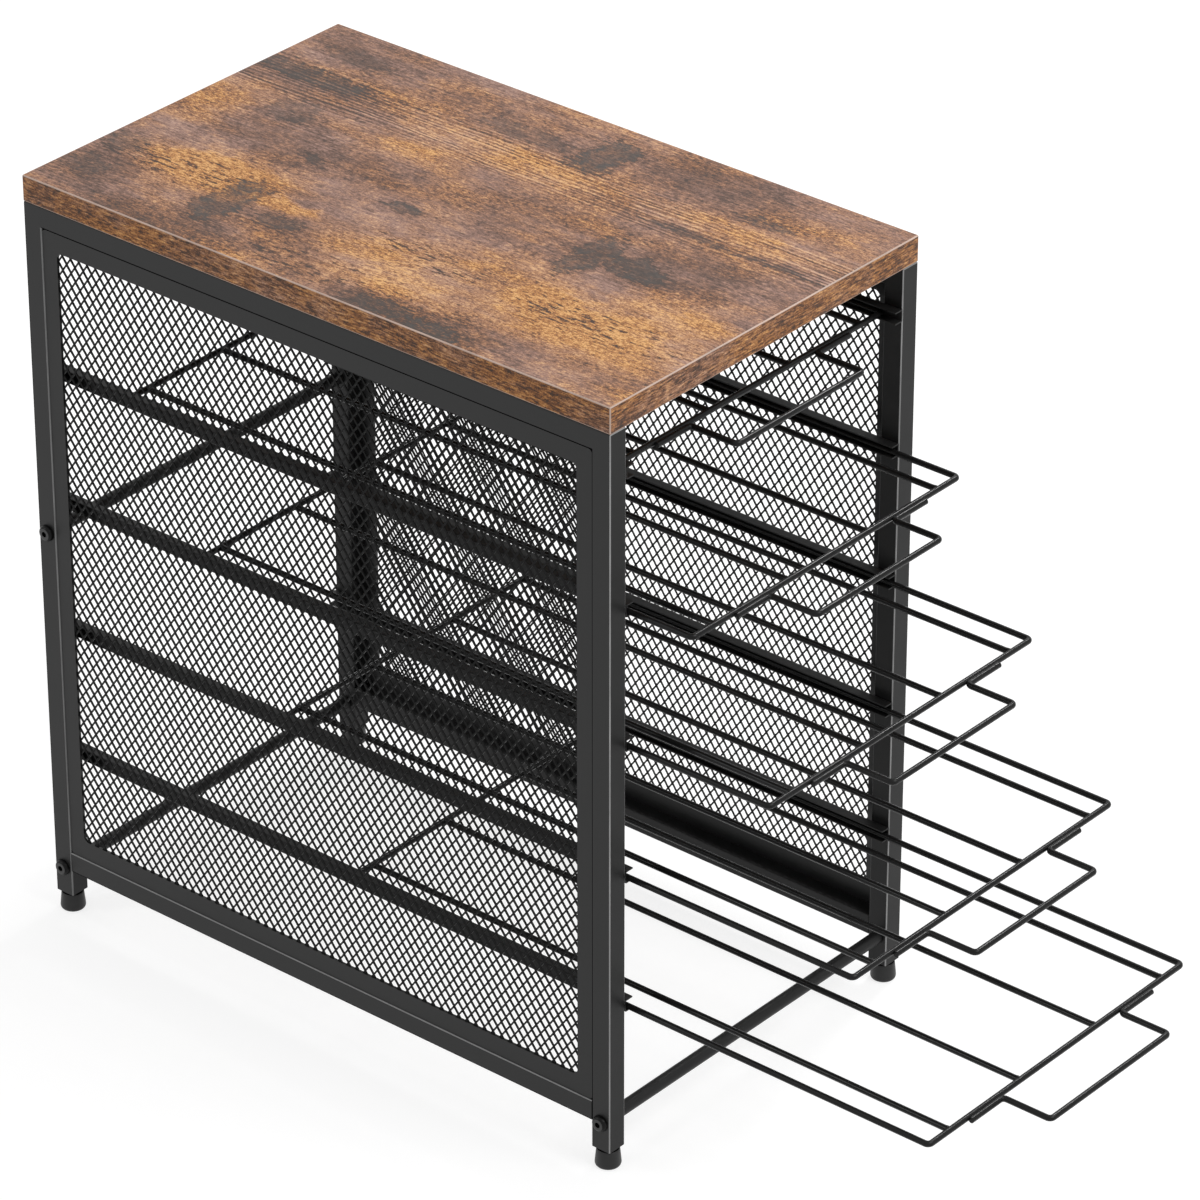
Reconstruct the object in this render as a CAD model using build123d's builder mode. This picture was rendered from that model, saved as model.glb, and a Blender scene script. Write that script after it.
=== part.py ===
from build123d import *
from math import atan2, cos, degrees, radians, sin
import os

# Coffee pod organizer: two welded side frames of square tube with expanded-metal panels, tied together by
# round crossbars, topped by a wood-grain board and filled with five wire drawers on C-shaped runners.
# Axes: +X to the right, +Y to the back, +Z up. The origin is on the table, under the middle of the cabinet.
# The drawers are drawn in steps, the top one closed and each one below pulled out further.

os.makedirs("parts", exist_ok=True)

# Cabinet, all lengths in millimetres
cabinet_width = 200.0
cabinet_depth = 326.0
post_length = 345.8
bottom_rail_lift = 12.9

# Square tube of the posts and side rails
tube_size = 10.0
tube_wall = 0.9
tube_corner_radius = 0.7

# Top board
board_thickness = 12.3
board_edge_chamfer = 0.4

# Expanded-metal side panels, with fewer and larger gaps than the real net but the same open share
panel_thickness = 0.9
panel_recess = 1.0
panel_corner_radius = 2.0
mesh_end_margin = 8.2
mesh_edge_margin = 9.2
mesh_columns = 9
mesh_rows = 7
mesh_gap_share = 0.72

# C-shaped runners
runner_sheet = 0.6
runner_flange = 4.8
runner_bend_radius = 0.8
runner_headroom = 2.0

# Wire drawers, from the top one down, and how far each is pulled out
drawer_pulls = (0.0, 42.4, 83.1, 127.5, 168.2)
top_drawer_drop = 22.35
bottom_drawer_lift = 68.8
drawer_front_inset = 8.2
drawer_back_inset = 0.2
drawer_side_clearance = 0.4
drawer_lift_clearance = 0.3
wire_diameter = 2.4
wire_sides = 8
wire_bend_radius = 2.0
wire_bend_steps = 3
inner_rod_share = 0.3
outer_rod_share = 0.841
handle_width = 84.4
handle_span = 125.2
handle_reach = 26.8

# Round crossbars between the side frames
crossbar_diameter = 6.0
lower_crossbar_lift = 13.6
middle_crossbar_drop = 10.3
tapped_depth = 12.0

# Button-head bolts through the posts into the crossbars
bolt_diameter = 4.0
bolt_bite = 9.0
bolt_head_diameter = 7.6
bolt_head_height = 2.2
bolt_crown_diameter = 5.4
bolt_socket = 2.5
bolt_socket_depth = 1.3

# Pan-head screws up through the top rails into the board
screw_diameter = 3.5
screw_bite = 8.5
screw_head_diameter = 5.6
screw_head_height = 2.0
screw_spacing = 200.0

# Plug feet
foot_height = 9.9
foot_top_diameter = 10.2
foot_bottom_diameter = 11.8
foot_edge_chamfer = 1.2
foot_stem_length = 7.0

# Small round parts are drawn with flat sides, which keeps their faces few, and threads are left plain
round_sides = 20
thread_sides = 8

# Clearances: the free fit of fasteners and plugs in their holes, and the overrun of every cut
fit_clearance = 0.1
overrun = 1.0

# Worked-out places of the cabinet
half_width = cabinet_width / 2
half_depth = cabinet_depth / 2
post_x = half_width - tube_size / 2
post_y = half_depth - tube_size / 2
post_bottom = foot_height
post_top = post_bottom + post_length
tube_bore = tube_size - 2 * tube_wall
inner_x = half_width - tube_size
inner_y = half_depth - tube_size
top_rail_z = post_top - tube_size / 2
bottom_rail_z = post_bottom + bottom_rail_lift + tube_size / 2

# Worked-out places of the side openings and their panels
opening_depth = 2 * inner_y
opening_bottom = bottom_rail_z + tube_size / 2
opening_top = top_rail_z - tube_size / 2
opening_height = opening_top - opening_bottom
opening_z = (opening_top + opening_bottom) / 2
mesh_depth = opening_depth - 2 * mesh_end_margin
mesh_height = opening_height - 2 * mesh_edge_margin
mesh_pitch_y = mesh_depth / mesh_columns
mesh_pitch_z = mesh_height / mesh_rows
panel_x = half_width - panel_recess

# Worked-out places of the drawers in the runners, measured to the centre of the wire
drawer_count = len(drawer_pulls)
drawer_pitch = (post_length - top_drawer_drop - bottom_drawer_lift) / (drawer_count - 1)
drawer_levels = [post_top - top_drawer_drop - number * drawer_pitch for number in range(drawer_count)]
drawer_half = inner_x - runner_sheet - drawer_side_clearance - wire_diameter / 2
drawer_front_y = -half_depth + drawer_front_inset + wire_diameter / 2
drawer_back_y = half_depth - drawer_back_inset - wire_diameter / 2
runner_inside = drawer_lift_clearance + wire_diameter + runner_headroom
runner_lift = runner_inside / 2 - drawer_lift_clearance - wire_diameter / 2
rod_shares = (-outer_rod_share, -inner_rod_share, inner_rod_share, outer_rod_share)
rod_places = [drawer_half * share for share in rod_shares]
handle_arm_x = (handle_width - wire_diameter) / 2
handle_foot_x = handle_span / 2

# Worked-out places of the crossbars and their bolts, the middle one just below the middle drawer
lower_bar_z = post_bottom + lower_crossbar_lift
middle_bar_z = drawer_levels[drawer_count // 2] - middle_crossbar_drop
crossbars = {
    "front_bottom": (-post_y, lower_bar_z),
    "back_bottom": (post_y, lower_bar_z),
    "back_middle": (post_y, middle_bar_z),
}
bolt_hole_radius = bolt_diameter / 2 + fit_clearance
screw_hole_radius = screw_diameter / 2 + fit_clearance
screw_places = [(x, y) for x in (-post_x, post_x) for y in (-screw_spacing / 2, screw_spacing / 2)]

# Worked-out tapers of the bolt heads and feet, in degrees from upright
bolt_head_taper = degrees(atan2((bolt_head_diameter - bolt_crown_diameter) / 2, bolt_head_height))
foot_taper = degrees(atan2((foot_bottom_diameter - foot_top_diameter) / 2, foot_height))

sides = {"left": -1, "right": 1}
ends = {"front": -1, "back": 1}


def wire_section():
    """Draw the section of a drawer wire, with flats above, below and at the sides for its neighbours."""
    RegularPolygon(wire_diameter / 2, wire_sides, major_radius=False, rotation=180 / wire_sides)


def bend_wire(*corners):
    """Sweep the wire through its corners, each right-angled bend taken in a few mitred steps."""
    route = [Vector(corners[0])]
    for before, corner, after in zip(corners, corners[1:], corners[2:]):
        into = (Vector(corner) - Vector(before)).normalized()
        out = (Vector(after) - Vector(corner)).normalized()
        centre = Vector(corner) + (out - into) * wire_bend_radius
        for step in range(wire_bend_steps + 1):
            angle = radians(90 * step / wire_bend_steps)
            route.append(centre + (into * sin(angle) - out * cos(angle)) * wire_bend_radius)
    route.append(Vector(corners[-1]))
    with BuildLine() as path:
        Polyline(*route)
    with BuildSketch(Plane(route[0], x_dir=(0, 0, 1), z_dir=route[1] - route[0])) as section:
        wire_section()
    sweep(section.sketch, path=path.wire(), transition=Transition.RIGHT)


# Top board, with pilot holes for the screws in its underside
with BuildPart() as top_board:
    with BuildSketch(Plane.XY.offset(post_top)):
        Rectangle(cabinet_width, cabinet_depth)
    extrude(amount=board_thickness)
    chamfer(top_board.edges().filter_by(Axis.Z), length=board_edge_chamfer)
    chamfer(top_board.faces().sort_by(Axis.Z)[-1].edges(), length=board_edge_chamfer)
    with BuildSketch(Plane.XY.offset(post_top)):
        with Locations(*screw_places):
            Circle(screw_hole_radius)
    extrude(amount=screw_bite + fit_clearance, mode=Mode.SUBTRACT)
top_board.part.label = "top_board"
export_step(top_board.part, "parts/top_board.step")

# Side frames: posts, rails, panels, runners and feet
for side, x_sign in sides.items():
    outward = (x_sign, 0, 0)

    # Posts, drilled across for the crossbar bolts
    for end, y_sign in ends.items():
        with BuildPart() as post:
            with BuildSketch(Plane.XY.offset(post_bottom)):
                with Locations((x_sign * post_x, y_sign * post_y)):
                    RectangleRounded(tube_size, tube_size, tube_corner_radius)
                    Rectangle(tube_bore, tube_bore, mode=Mode.SUBTRACT)
            extrude(amount=post_length)
            for name, (bar_y, bar_z) in crossbars.items():
                if name.startswith(end):
                    with Locations(Plane((x_sign * half_width, bar_y, bar_z), z_dir=outward)):
                        Hole(bolt_hole_radius, depth=tube_size + overrun)
        post.part.label = f"{end}_{side}_post"
        export_step(post.part, f"parts/{end}_{side}_post.step")

    # Side rails between the posts, the top one drilled for the board screws
    for level, rail_z in {"top": top_rail_z, "bottom": bottom_rail_z}.items():
        with BuildPart() as rail:
            with BuildSketch(Plane.XZ):
                with Locations((x_sign * post_x, rail_z)):
                    RectangleRounded(tube_size, tube_size, tube_corner_radius)
                    Rectangle(tube_bore, tube_bore, mode=Mode.SUBTRACT)
            extrude(amount=inner_y, both=True)
            if level == "top":
                with BuildSketch(Plane.XY.offset(rail_z - tube_size / 2)):
                    with Locations(*screw_places):
                        Circle(screw_hole_radius)
                extrude(amount=tube_size, mode=Mode.SUBTRACT)
        rail.part.label = f"{side}_{level}_rail"
        export_step(rail.part, f"parts/{side}_{level}_rail.step")

    # Expanded-metal panel, cut as one holed face from the sheet that fills the side opening
    with BuildPart() as panel:
        with BuildSketch() as gaps:
            for extra in (0, 1):
                with GridLocations(mesh_pitch_y, mesh_pitch_z, mesh_columns + extra, mesh_rows + extra):
                    Polygon(
                        (mesh_pitch_y / 2 * mesh_gap_share, 0),
                        (0, mesh_pitch_z / 2 * mesh_gap_share),
                        (-mesh_pitch_y / 2 * mesh_gap_share, 0),
                        (0, -mesh_pitch_z / 2 * mesh_gap_share),
                    )
            Rectangle(mesh_depth, mesh_height, mode=Mode.INTERSECT)
        with BuildSketch(Plane((x_sign * panel_x, 0, opening_z), x_dir=(0, 1, 0), z_dir=(1, 0, 0))) as net:
            RectangleRounded(opening_depth, opening_height, panel_corner_radius)
            add(gaps.sketch, mode=Mode.SUBTRACT)
        extrude(net.sketch, amount=-x_sign * panel_thickness)
    panel.part.label = f"{side}_mesh_panel"
    export_step(panel.part, f"parts/{side}_mesh_panel.step")

    # Runners, one C-shaped channel for each drawer
    for number, level in enumerate(drawer_levels, start=1):
        with BuildPart() as runner:
            with BuildSketch(Plane.XZ) as profile:
                with Locations((x_sign * (inner_x - runner_flange / 2), level + runner_lift)):
                    Rectangle(runner_flange, runner_inside + 2 * runner_sheet)
                with Locations((x_sign * (inner_x - runner_sheet - runner_flange / 2), level + runner_lift)):
                    Rectangle(runner_flange, runner_inside, mode=Mode.SUBTRACT)
                web_corners = profile.vertices().sort_by(lambda corner: abs(corner.X))[-2:]
                fillet(web_corners, radius=runner_bend_radius)
            extrude(amount=half_depth, both=True)
        runner.part.label = f"{side}_runner_{number}"
        export_step(runner.part, f"parts/{side}_runner_{number}.step")

    # Plug feet, narrowing upwards to the lower ends of the posts, with stems inside the tube
    for end, y_sign in ends.items():
        with BuildPart() as foot:
            with BuildSketch():
                with Locations((x_sign * post_x, y_sign * post_y)):
                    RegularPolygon(foot_bottom_diameter / 2, round_sides)
            extrude(amount=foot_height, taper=foot_taper)
            chamfer(foot.faces().sort_by(Axis.Z)[0].edges(), length=foot_edge_chamfer)
            with BuildSketch(Plane.XY.offset(post_bottom)):
                with Locations((x_sign * post_x, y_sign * post_y)):
                    RegularPolygon(tube_bore / 2 - fit_clearance, round_sides)
            extrude(amount=foot_stem_length)
        foot.part.label = f"{end}_{side}_foot"
        export_step(foot.part, f"parts/{end}_{side}_foot.step")

# Crossbars between the side frames, tapped at both ends
for name, (bar_y, bar_z) in crossbars.items():
    with BuildPart() as crossbar:
        with BuildSketch(Plane.YZ):
            with Locations((bar_y, bar_z)):
                Circle(crossbar_diameter / 2)
        extrude(amount=inner_x, both=True)
        for x_sign in sides.values():
            with Locations(Plane((x_sign * inner_x, bar_y, bar_z), z_dir=(x_sign, 0, 0))):
                Hole(bolt_hole_radius, depth=tapped_depth)
    crossbar.part.label = f"{name}_crossbar"
    export_step(crossbar.part, f"parts/{name}_crossbar.step")

# Button-head bolt, upright with its seat at zero, then set into both ends of every crossbar
with BuildPart() as bolt:
    with BuildSketch():
        RegularPolygon(bolt_head_diameter / 2, round_sides)
    extrude(amount=bolt_head_height, taper=bolt_head_taper)
    with BuildSketch(Plane.XY.offset(bolt_head_height)):
        RegularPolygon(bolt_socket / 2, 6, major_radius=False)
    extrude(amount=-bolt_socket_depth, mode=Mode.SUBTRACT)
    with BuildSketch():
        RegularPolygon(bolt_diameter / 2, thread_sides)
    extrude(amount=-tube_size - bolt_bite)
with BuildPart() as frame_bolts:
    for bar_y, bar_z in crossbars.values():
        for x_sign in sides.values():
            with Locations(Plane((x_sign * half_width, bar_y, bar_z), z_dir=(x_sign, 0, 0))):
                add(bolt.part)
frame_bolts.part.label = "frame_bolts"
export_step(frame_bolts.part, "parts/frame_bolts.step")

# Board screws, their heads against the underside of the top rails
with BuildPart() as board_screws:
    with BuildSketch(Plane.XY.offset(opening_top)):
        with Locations(*screw_places):
            RegularPolygon(screw_head_diameter / 2, round_sides)
    extrude(amount=-screw_head_height)
    with BuildSketch(Plane.XY.offset(opening_top)):
        with Locations(*screw_places):
            RegularPolygon(screw_diameter / 2, thread_sides)
    extrude(amount=tube_size + screw_bite)
board_screws.part.label = "board_screws"
export_step(board_screws.part, "parts/board_screws.step")

# Drawers: a closed wire frame, lengthwise rods between its ends and a bent handle on its front
for number, (level, pull) in enumerate(zip(drawer_levels, drawer_pulls), start=1):
    front_y = drawer_front_y - pull
    back_y = drawer_back_y - pull
    foot_y = front_y - wire_diameter
    grip_y = front_y - handle_reach

    with BuildPart() as drawer_frame:
        bend_wire(
            (0, front_y, level),
            (drawer_half, front_y, level),
            (drawer_half, back_y, level),
            (-drawer_half, back_y, level),
            (-drawer_half, front_y, level),
            (0, front_y, level),
        )
    drawer_frame.part.label = f"drawer_{number}_frame"
    export_step(drawer_frame.part, f"parts/drawer_{number}_frame.step")

    for place, rod_x in enumerate(rod_places, start=1):
        with BuildPart() as rod:
            with BuildSketch(Plane((rod_x, front_y + wire_diameter / 2, level), z_dir=(0, 1, 0))):
                wire_section()
            extrude(amount=back_y - front_y - wire_diameter)
        rod.part.label = f"drawer_{number}_rod_{place}"
        export_step(rod.part, f"parts/drawer_{number}_rod_{place}.step")

    with BuildPart() as handle:
        bend_wire(
            (-handle_foot_x, foot_y, level),
            (-handle_arm_x, foot_y, level),
            (-handle_arm_x, grip_y, level),
            (handle_arm_x, grip_y, level),
            (handle_arm_x, foot_y, level),
            (handle_foot_x, foot_y, level),
        )
    handle.part.label = f"drawer_{number}_handle"
    export_step(handle.part, f"parts/drawer_{number}_handle.step")
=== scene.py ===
import logging
import math
from collections.abc import Callable
from dataclasses import dataclass, field, replace
from enum import Enum

import bmesh
import bpy
from bmesh.types import BMEdge, BMesh, BMFace, BMVert
from bpy.types import Material, Node, NodeSocket, Object
from mathutils import Matrix, Vector


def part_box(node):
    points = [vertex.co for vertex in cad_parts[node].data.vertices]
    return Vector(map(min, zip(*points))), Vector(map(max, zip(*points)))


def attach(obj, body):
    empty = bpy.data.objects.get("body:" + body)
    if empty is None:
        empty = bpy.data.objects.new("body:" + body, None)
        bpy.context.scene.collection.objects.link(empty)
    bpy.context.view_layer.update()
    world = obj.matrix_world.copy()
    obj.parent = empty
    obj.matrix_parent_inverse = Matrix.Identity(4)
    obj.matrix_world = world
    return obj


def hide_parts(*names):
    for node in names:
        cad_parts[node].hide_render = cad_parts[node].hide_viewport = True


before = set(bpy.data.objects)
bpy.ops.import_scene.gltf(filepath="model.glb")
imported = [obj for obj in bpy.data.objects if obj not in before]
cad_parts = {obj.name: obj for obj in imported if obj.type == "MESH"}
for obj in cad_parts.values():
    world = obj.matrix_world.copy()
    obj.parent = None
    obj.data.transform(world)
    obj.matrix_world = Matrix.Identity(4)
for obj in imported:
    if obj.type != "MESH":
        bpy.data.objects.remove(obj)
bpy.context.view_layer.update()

# The looks of a countertop rack: square-tube side frames with expanded-metal panels, a wood-grain
# board on top and five wire drawers on C-shaped runners. Lengths are in metres, and MM turns a
# maker's millimetres into them.

MM = 0.001
LOG = logging.getLogger("pod_organizer")

# Corners nearer than MEET become one, and NEAR is close enough when a ring of edges is looked for.
MEET = 0.001 * MM
NEAR = 0.01 * MM

# How squarely a face looks along an axis: one that only faces it, a flat one, an exactly flat one.
FACING = 0.9
FLAT = 0.999
DEAD_FLAT = 0.9999

DRAWERS = 5
WHITE = (1.0, 1.0, 1.0, 1.0)
QUARTER_TURN = math.pi / 2

Colour = tuple[float, float, float]
Tones = tuple[tuple[float, Colour], ...]
Profile = tuple[tuple[float, float], ...]
Span = tuple[float, float]
Gate = tuple[float, float, float, float]


class Slot(Enum):
    """The record's material slots."""

    BOARD = "wood_board"
    FRAME = "coated_frame"
    MESH = "coated_mesh"
    WIRE = "coated_wire"
    BOLT = "black_bolt"
    SCREW = "zinc_screw"
    FOOT = "plug_foot"


class Spelled(Enum):
    """A choice whose name the CAD nodes spell in small letters."""

    @property
    def word(self) -> str:
        """The name as the CAD nodes spell it."""
        return self.name.lower()


class Side(Spelled):
    """The two sides of the cabinet, valued by the sign of X."""

    LEFT = -1
    RIGHT = 1


class End(Spelled):
    """The two ends of the cabinet, valued by the sign of Y."""

    FRONT = -1
    BACK = 1


class Bar(Spelled):
    """The crossbars, in the order that they are built in."""

    FRONT_BOTTOM = 0
    BACK_BOTTOM = 1
    BACK_MIDDLE = 2

    @property
    def end(self) -> End:
        """The end of the cabinet that the bar is at."""
        return End.FRONT if self is Bar.FRONT_BOTTOM else End.BACK


class Axis(Enum):
    """The object's axes, valued by their index."""

    X = 0
    Y = 1
    Z = 2


class Bevel(Enum):
    """What a bevel rounds off, valued by the operator's word for it."""

    EDGES = "EDGES"
    CORNERS = "VERTICES"


class BoardLook(Enum):
    """The places of the board's finishes among those of its piece."""

    TOP = 0
    SIDE_BAND = 1
    END_BAND = 2
    LINE = 3


class TubeLook(Enum):
    """The places of a tube's finishes among those of its piece."""

    COAT = 0
    # After the plain coat: a bright and a fainter painted highlight on rounded corners, near-black
    # painted shade along the opening's gaps, and a darker painted-shade copy of the coat for faces
    # turned inwards or to the front.
    BRIGHT = 1
    SOFT = 2
    SEAM = 3
    INNER = 4


class PanelLook(Enum):
    """The places of a mesh panel's finishes among those of its piece."""

    NET = 0
    MARGIN = 1
    # The sheet's top edge under the rail is near-black painted shade.
    SEAM = 2


class RunnerLook(Enum):
    """The places of a runner's finishes among those of its piece."""

    # The inside of the channel is a darker painted-shade copy of the coat.
    INNER = 0
    OUTER = 1


class BoltLook(Enum):
    """The places of a bolt's finishes among those of its piece."""

    CROWN = 0
    # The flank and the socket are near-black painted shade.
    FLANK = 1


class FootLook(Enum):
    """The places of a foot's finishes among those of its piece."""

    PLUG = 0
    # The neck under the post is near-black painted shade.
    SHADED_NECK = 1


class NodeDesk:
    """A material's node tree, with a short call for each kind of node that the finishes use."""

    def __init__(self, name: str) -> None:
        """Start a material with a lone surface shader.

        Args:
            name: The material's name.
        """
        self.material: Material = bpy.data.materials.new(name)
        self.material.use_nodes = True
        self.tree = self.material.node_tree
        self.shader: Node = self.tree.nodes["Principled BSDF"]

    def node(self, kind: str, **settings: object) -> Node:
        """Add a node and give it its settings.

        Args:
            kind: The node's type name.
            **settings: Properties of the node.

        Returns:
            The new node.
        """
        made = self.tree.nodes.new(kind)
        for key, value in settings.items():
            setattr(made, key, value)
        return made

    def feed(self, socket: NodeSocket, value: object) -> None:
        """Give a socket a link or a plain value.

        Args:
            socket: The input to fill.
            value: Another node's output, or a number or colour.
        """
        if isinstance(value, NodeSocket):
            self.tree.links.new(value, socket)
        else:
            socket.default_value = value

    def math(self, operation: str, *values: object, clamp: bool = False) -> NodeSocket:
        """Work out a number from one to three others.

        Args:
            operation: The Math node's operation.
            *values: Numbers or outputs.
            clamp: Whether the result is held between 0 and 1.

        Returns:
            The result's output.
        """
        made = self.node("ShaderNodeMath", operation=operation, use_clamp=clamp)
        for socket, value in zip(made.inputs, values):
            self.feed(socket, value)
        return made.outputs[0]

    def total(self, *values: object) -> NodeSocket:
        """Add up any count of numbers or outputs.

        Args:
            *values: What is added.

        Returns:
            The sum's output.
        """
        running = values[0]
        for value in values[1:]:
            running = self.math("ADD", running, value)
        return running

    def swing(self, value: NodeSocket, reach: float) -> NodeSocket:
        """Centre a noise value on zero and scale it.

        Args:
            value: A noise output, about 0.5 on average.
            reach: What a full unit of the noise becomes.

        Returns:
            The scaled output.
        """
        return self.math("MULTIPLY", self.math("SUBTRACT", value, 0.5), reach)

    def smooth(
        self,
        value: object,
        low: float,
        high: float,
        out_low: float = 0.0,
        out_high: float = 1.0,
    ) -> NodeSocket:
        """Ease a value from one level to another.

        Args:
            value: The driving output.
            low: Where the change starts.
            high: Where the change ends.
            out_low: The result at the start.
            out_high: The result at the end.

        Returns:
            The eased output.
        """
        made = self.node("ShaderNodeMapRange", interpolation_type="SMOOTHSTEP")
        names = ("Value", "From Min", "From Max", "To Min", "To Max")
        for name, number in zip(names, (value, low, high, out_low, out_high)):
            self.feed(made.inputs[name], number)
        return made.outputs[0]

    def places(self) -> tuple[NodeSocket, NodeSocket, NodeSocket]:
        """Read the object's coordinates in millimetres.

        Returns:
            The X, Y and Z outputs.
        """
        read = self.node("ShaderNodeTexCoord")
        grown = self.node("ShaderNodeVectorMath", operation="SCALE")
        self.feed(grown.inputs[0], read.outputs["Object"])
        self.feed(grown.inputs["Scale"], 1.0 / MM)
        split = self.node("ShaderNodeSeparateXYZ")
        self.feed(split.inputs[0], grown.outputs[0])
        return split.outputs[0], split.outputs[1], split.outputs[2]

    def noise(
        self,
        first: NodeSocket,
        second: NodeSocket,
        third: object,
        sizes: tuple[float, float, float],
        detail: float = 2.0,
        roughness: float = 0.5,
    ) -> NodeSocket:
        """Draw a noise whose blots have a given size along each coordinate.

        Args:
            first: The first coordinate, in millimetres.
            second: The second coordinate, in millimetres.
            third: The third coordinate, or a plain number that picks another pattern.
            sizes: The blots' length along each coordinate, in millimetres.
            detail: How many finer layers the noise has.
            roughness: How strong the finer layers are.

        Returns:
            The noise value, about 0.5 on average.
        """
        place = self.node("ShaderNodeCombineXYZ")
        for socket, value, size in zip(place.inputs, (first, second, third), sizes):
            moving = isinstance(value, NodeSocket)
            self.feed(socket, self.math("DIVIDE", value, size) if moving else value)
        made = self.node("ShaderNodeTexNoise")
        self.feed(made.inputs["Vector"], place.outputs[0])
        for name, value in (("Scale", 1.0), ("Detail", detail), ("Roughness", roughness)):
            self.feed(made.inputs[name], value)
        return made.outputs[0]

    def ramp(self, factor: NodeSocket, stops: Tones) -> NodeSocket:
        """Turn a number into a colour.

        Args:
            factor: The driving output.
            stops: Places between 0 and 1 with their linear colours.

        Returns:
            The colour's output.
        """
        made = self.node("ShaderNodeValToRGB")
        band = made.color_ramp
        while len(band.elements) < len(stops):
            band.elements.new(1.0)
        for element, (place, colour) in zip(band.elements, stops):
            element.position = place
            element.color = (*colour, 1.0)
        self.feed(made.inputs[0], factor)
        return made.outputs[0]

    def mix(self, factor: NodeSocket, first: object, second: object) -> NodeSocket:
        """Blend two colours.

        Args:
            factor: The second colour's share.
            first: A colour or a colour output.
            second: A colour or a colour output.

        Returns:
            The blend's output.
        """
        made = self.node("ShaderNodeMix", data_type="RGBA")
        sockets = {socket.identifier: socket for socket in (*made.inputs, *made.outputs)}
        for name, value in (("Factor_Float", factor), ("A_Color", first), ("B_Color", second)):
            self.feed(sockets[name], value)
        return sockets["Result_Color"]

    def bump(self, height: NodeSocket, depth: float, strength: float) -> None:
        """Raise the surface by a height value.

        Args:
            height: The driving output, from 0 to 1.
            depth: The full height, in millimetres.
            strength: The share of it that shows.
        """
        made = self.node("ShaderNodeBump")
        made.inputs["Distance"].default_value = depth * MM
        made.inputs["Strength"].default_value = strength
        self.feed(made.inputs["Height"], height)
        self.feed(self.shader.inputs["Normal"], made.outputs[0])

    def surface(self, **values: float) -> None:
        """Set constants on the surface shader.

        Args:
            **values: Socket names, with underscores for spaces, and their numbers.
        """
        for name, value in values.items():
            self.shader.inputs[name.replace("_", " ")].default_value = value


def grey(level: float) -> Colour:
    """Make a colour without a hue."""
    return level, level, level


@dataclass(frozen=True)
class CoatFinish:
    """An even finish with a faint cloud of tone and a fine grain.

    It serves for powder coat, enamel, plastic, plated steel, painted highlight and shade. Lengths
    are in millimetres.
    """

    name: str
    colour: Colour
    roughness: float
    specular: float = 0.5
    metallic: float = 0.0
    cloud_size: float = 22.0
    cloud_share: float = 0.22
    cloud_detail: float = 4.0
    cloud_roughness: float = 0.6
    grain_size: float = 0.55
    grain_depth: float = 0.03
    grain_strength: float = 0.35
    grain_tone: float = 0.25
    tone_span: Span = (0.3, 0.7)
    sheen_span: Span = (0.9, 1.1)

    def make(self) -> Material:
        """Build the material.

        Returns:
            The finished material.
        """
        desk = NodeDesk(self.name)
        x, y, z = desk.places()
        cloud_sizes, grain_sizes = (self.cloud_size,) * 3, (self.grain_size,) * 3
        cloud = desk.noise(x, y, z, cloud_sizes, self.cloud_detail, self.cloud_roughness)
        grain = desk.noise(x, y, z, grain_sizes)
        dark = tuple(part * (1.0 - self.cloud_share) for part in self.colour)
        light = tuple(part * (1.0 + self.cloud_share) for part in self.colour)
        tone = desk.total(cloud, desk.swing(grain, self.grain_tone))
        colour = desk.ramp(tone, tuple(zip(self.tone_span, (dark, light))))
        desk.feed(desk.shader.inputs["Base Color"], colour)
        sheen = (self.roughness * share for share in self.sheen_span)
        desk.feed(desk.shader.inputs["Roughness"], desk.smooth(tone, *self.tone_span, *sheen))
        desk.surface(Metallic=self.metallic, Specular_IOR_Level=self.specular)
        desk.bump(grain, self.grain_depth, self.grain_strength)
        return desk.material


@dataclass(frozen=True)
class Mark:
    """A knot, stain or bright patch in the wood, in millimetres across and along the grain."""

    across: float
    along: float
    half_width: float
    half_length: float
    depth: float


@dataclass(frozen=True)
class Layer:
    """A layer of noise in the wood, and how far it moves what it is used for.

    The blots' width across the grain, their length along it and the bend are in millimetres.
    """

    pick: float
    width: float
    length: float
    detail: float = 2.0
    roughness: float = 0.5
    tone: float = 0.0
    warmth: float = 0.0
    fray: float = 0.0
    relief: float = 0.0
    bend: float = 0.0


@dataclass(frozen=True)
class Grain:
    """The coordinates and noises that the steps of a wood finish share."""

    plain: NodeSocket
    across: NodeSocket
    along: NodeSocket
    ragged_across: NodeSocket
    ragged_along: NodeSocket
    fray: NodeSocket
    cloud: NodeSocket
    blotch: NodeSocket
    hue: NodeSocket
    mottle: NodeSocket
    fibre: NodeSocket
    dash: NodeSocket
    speck: NodeSocket


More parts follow.
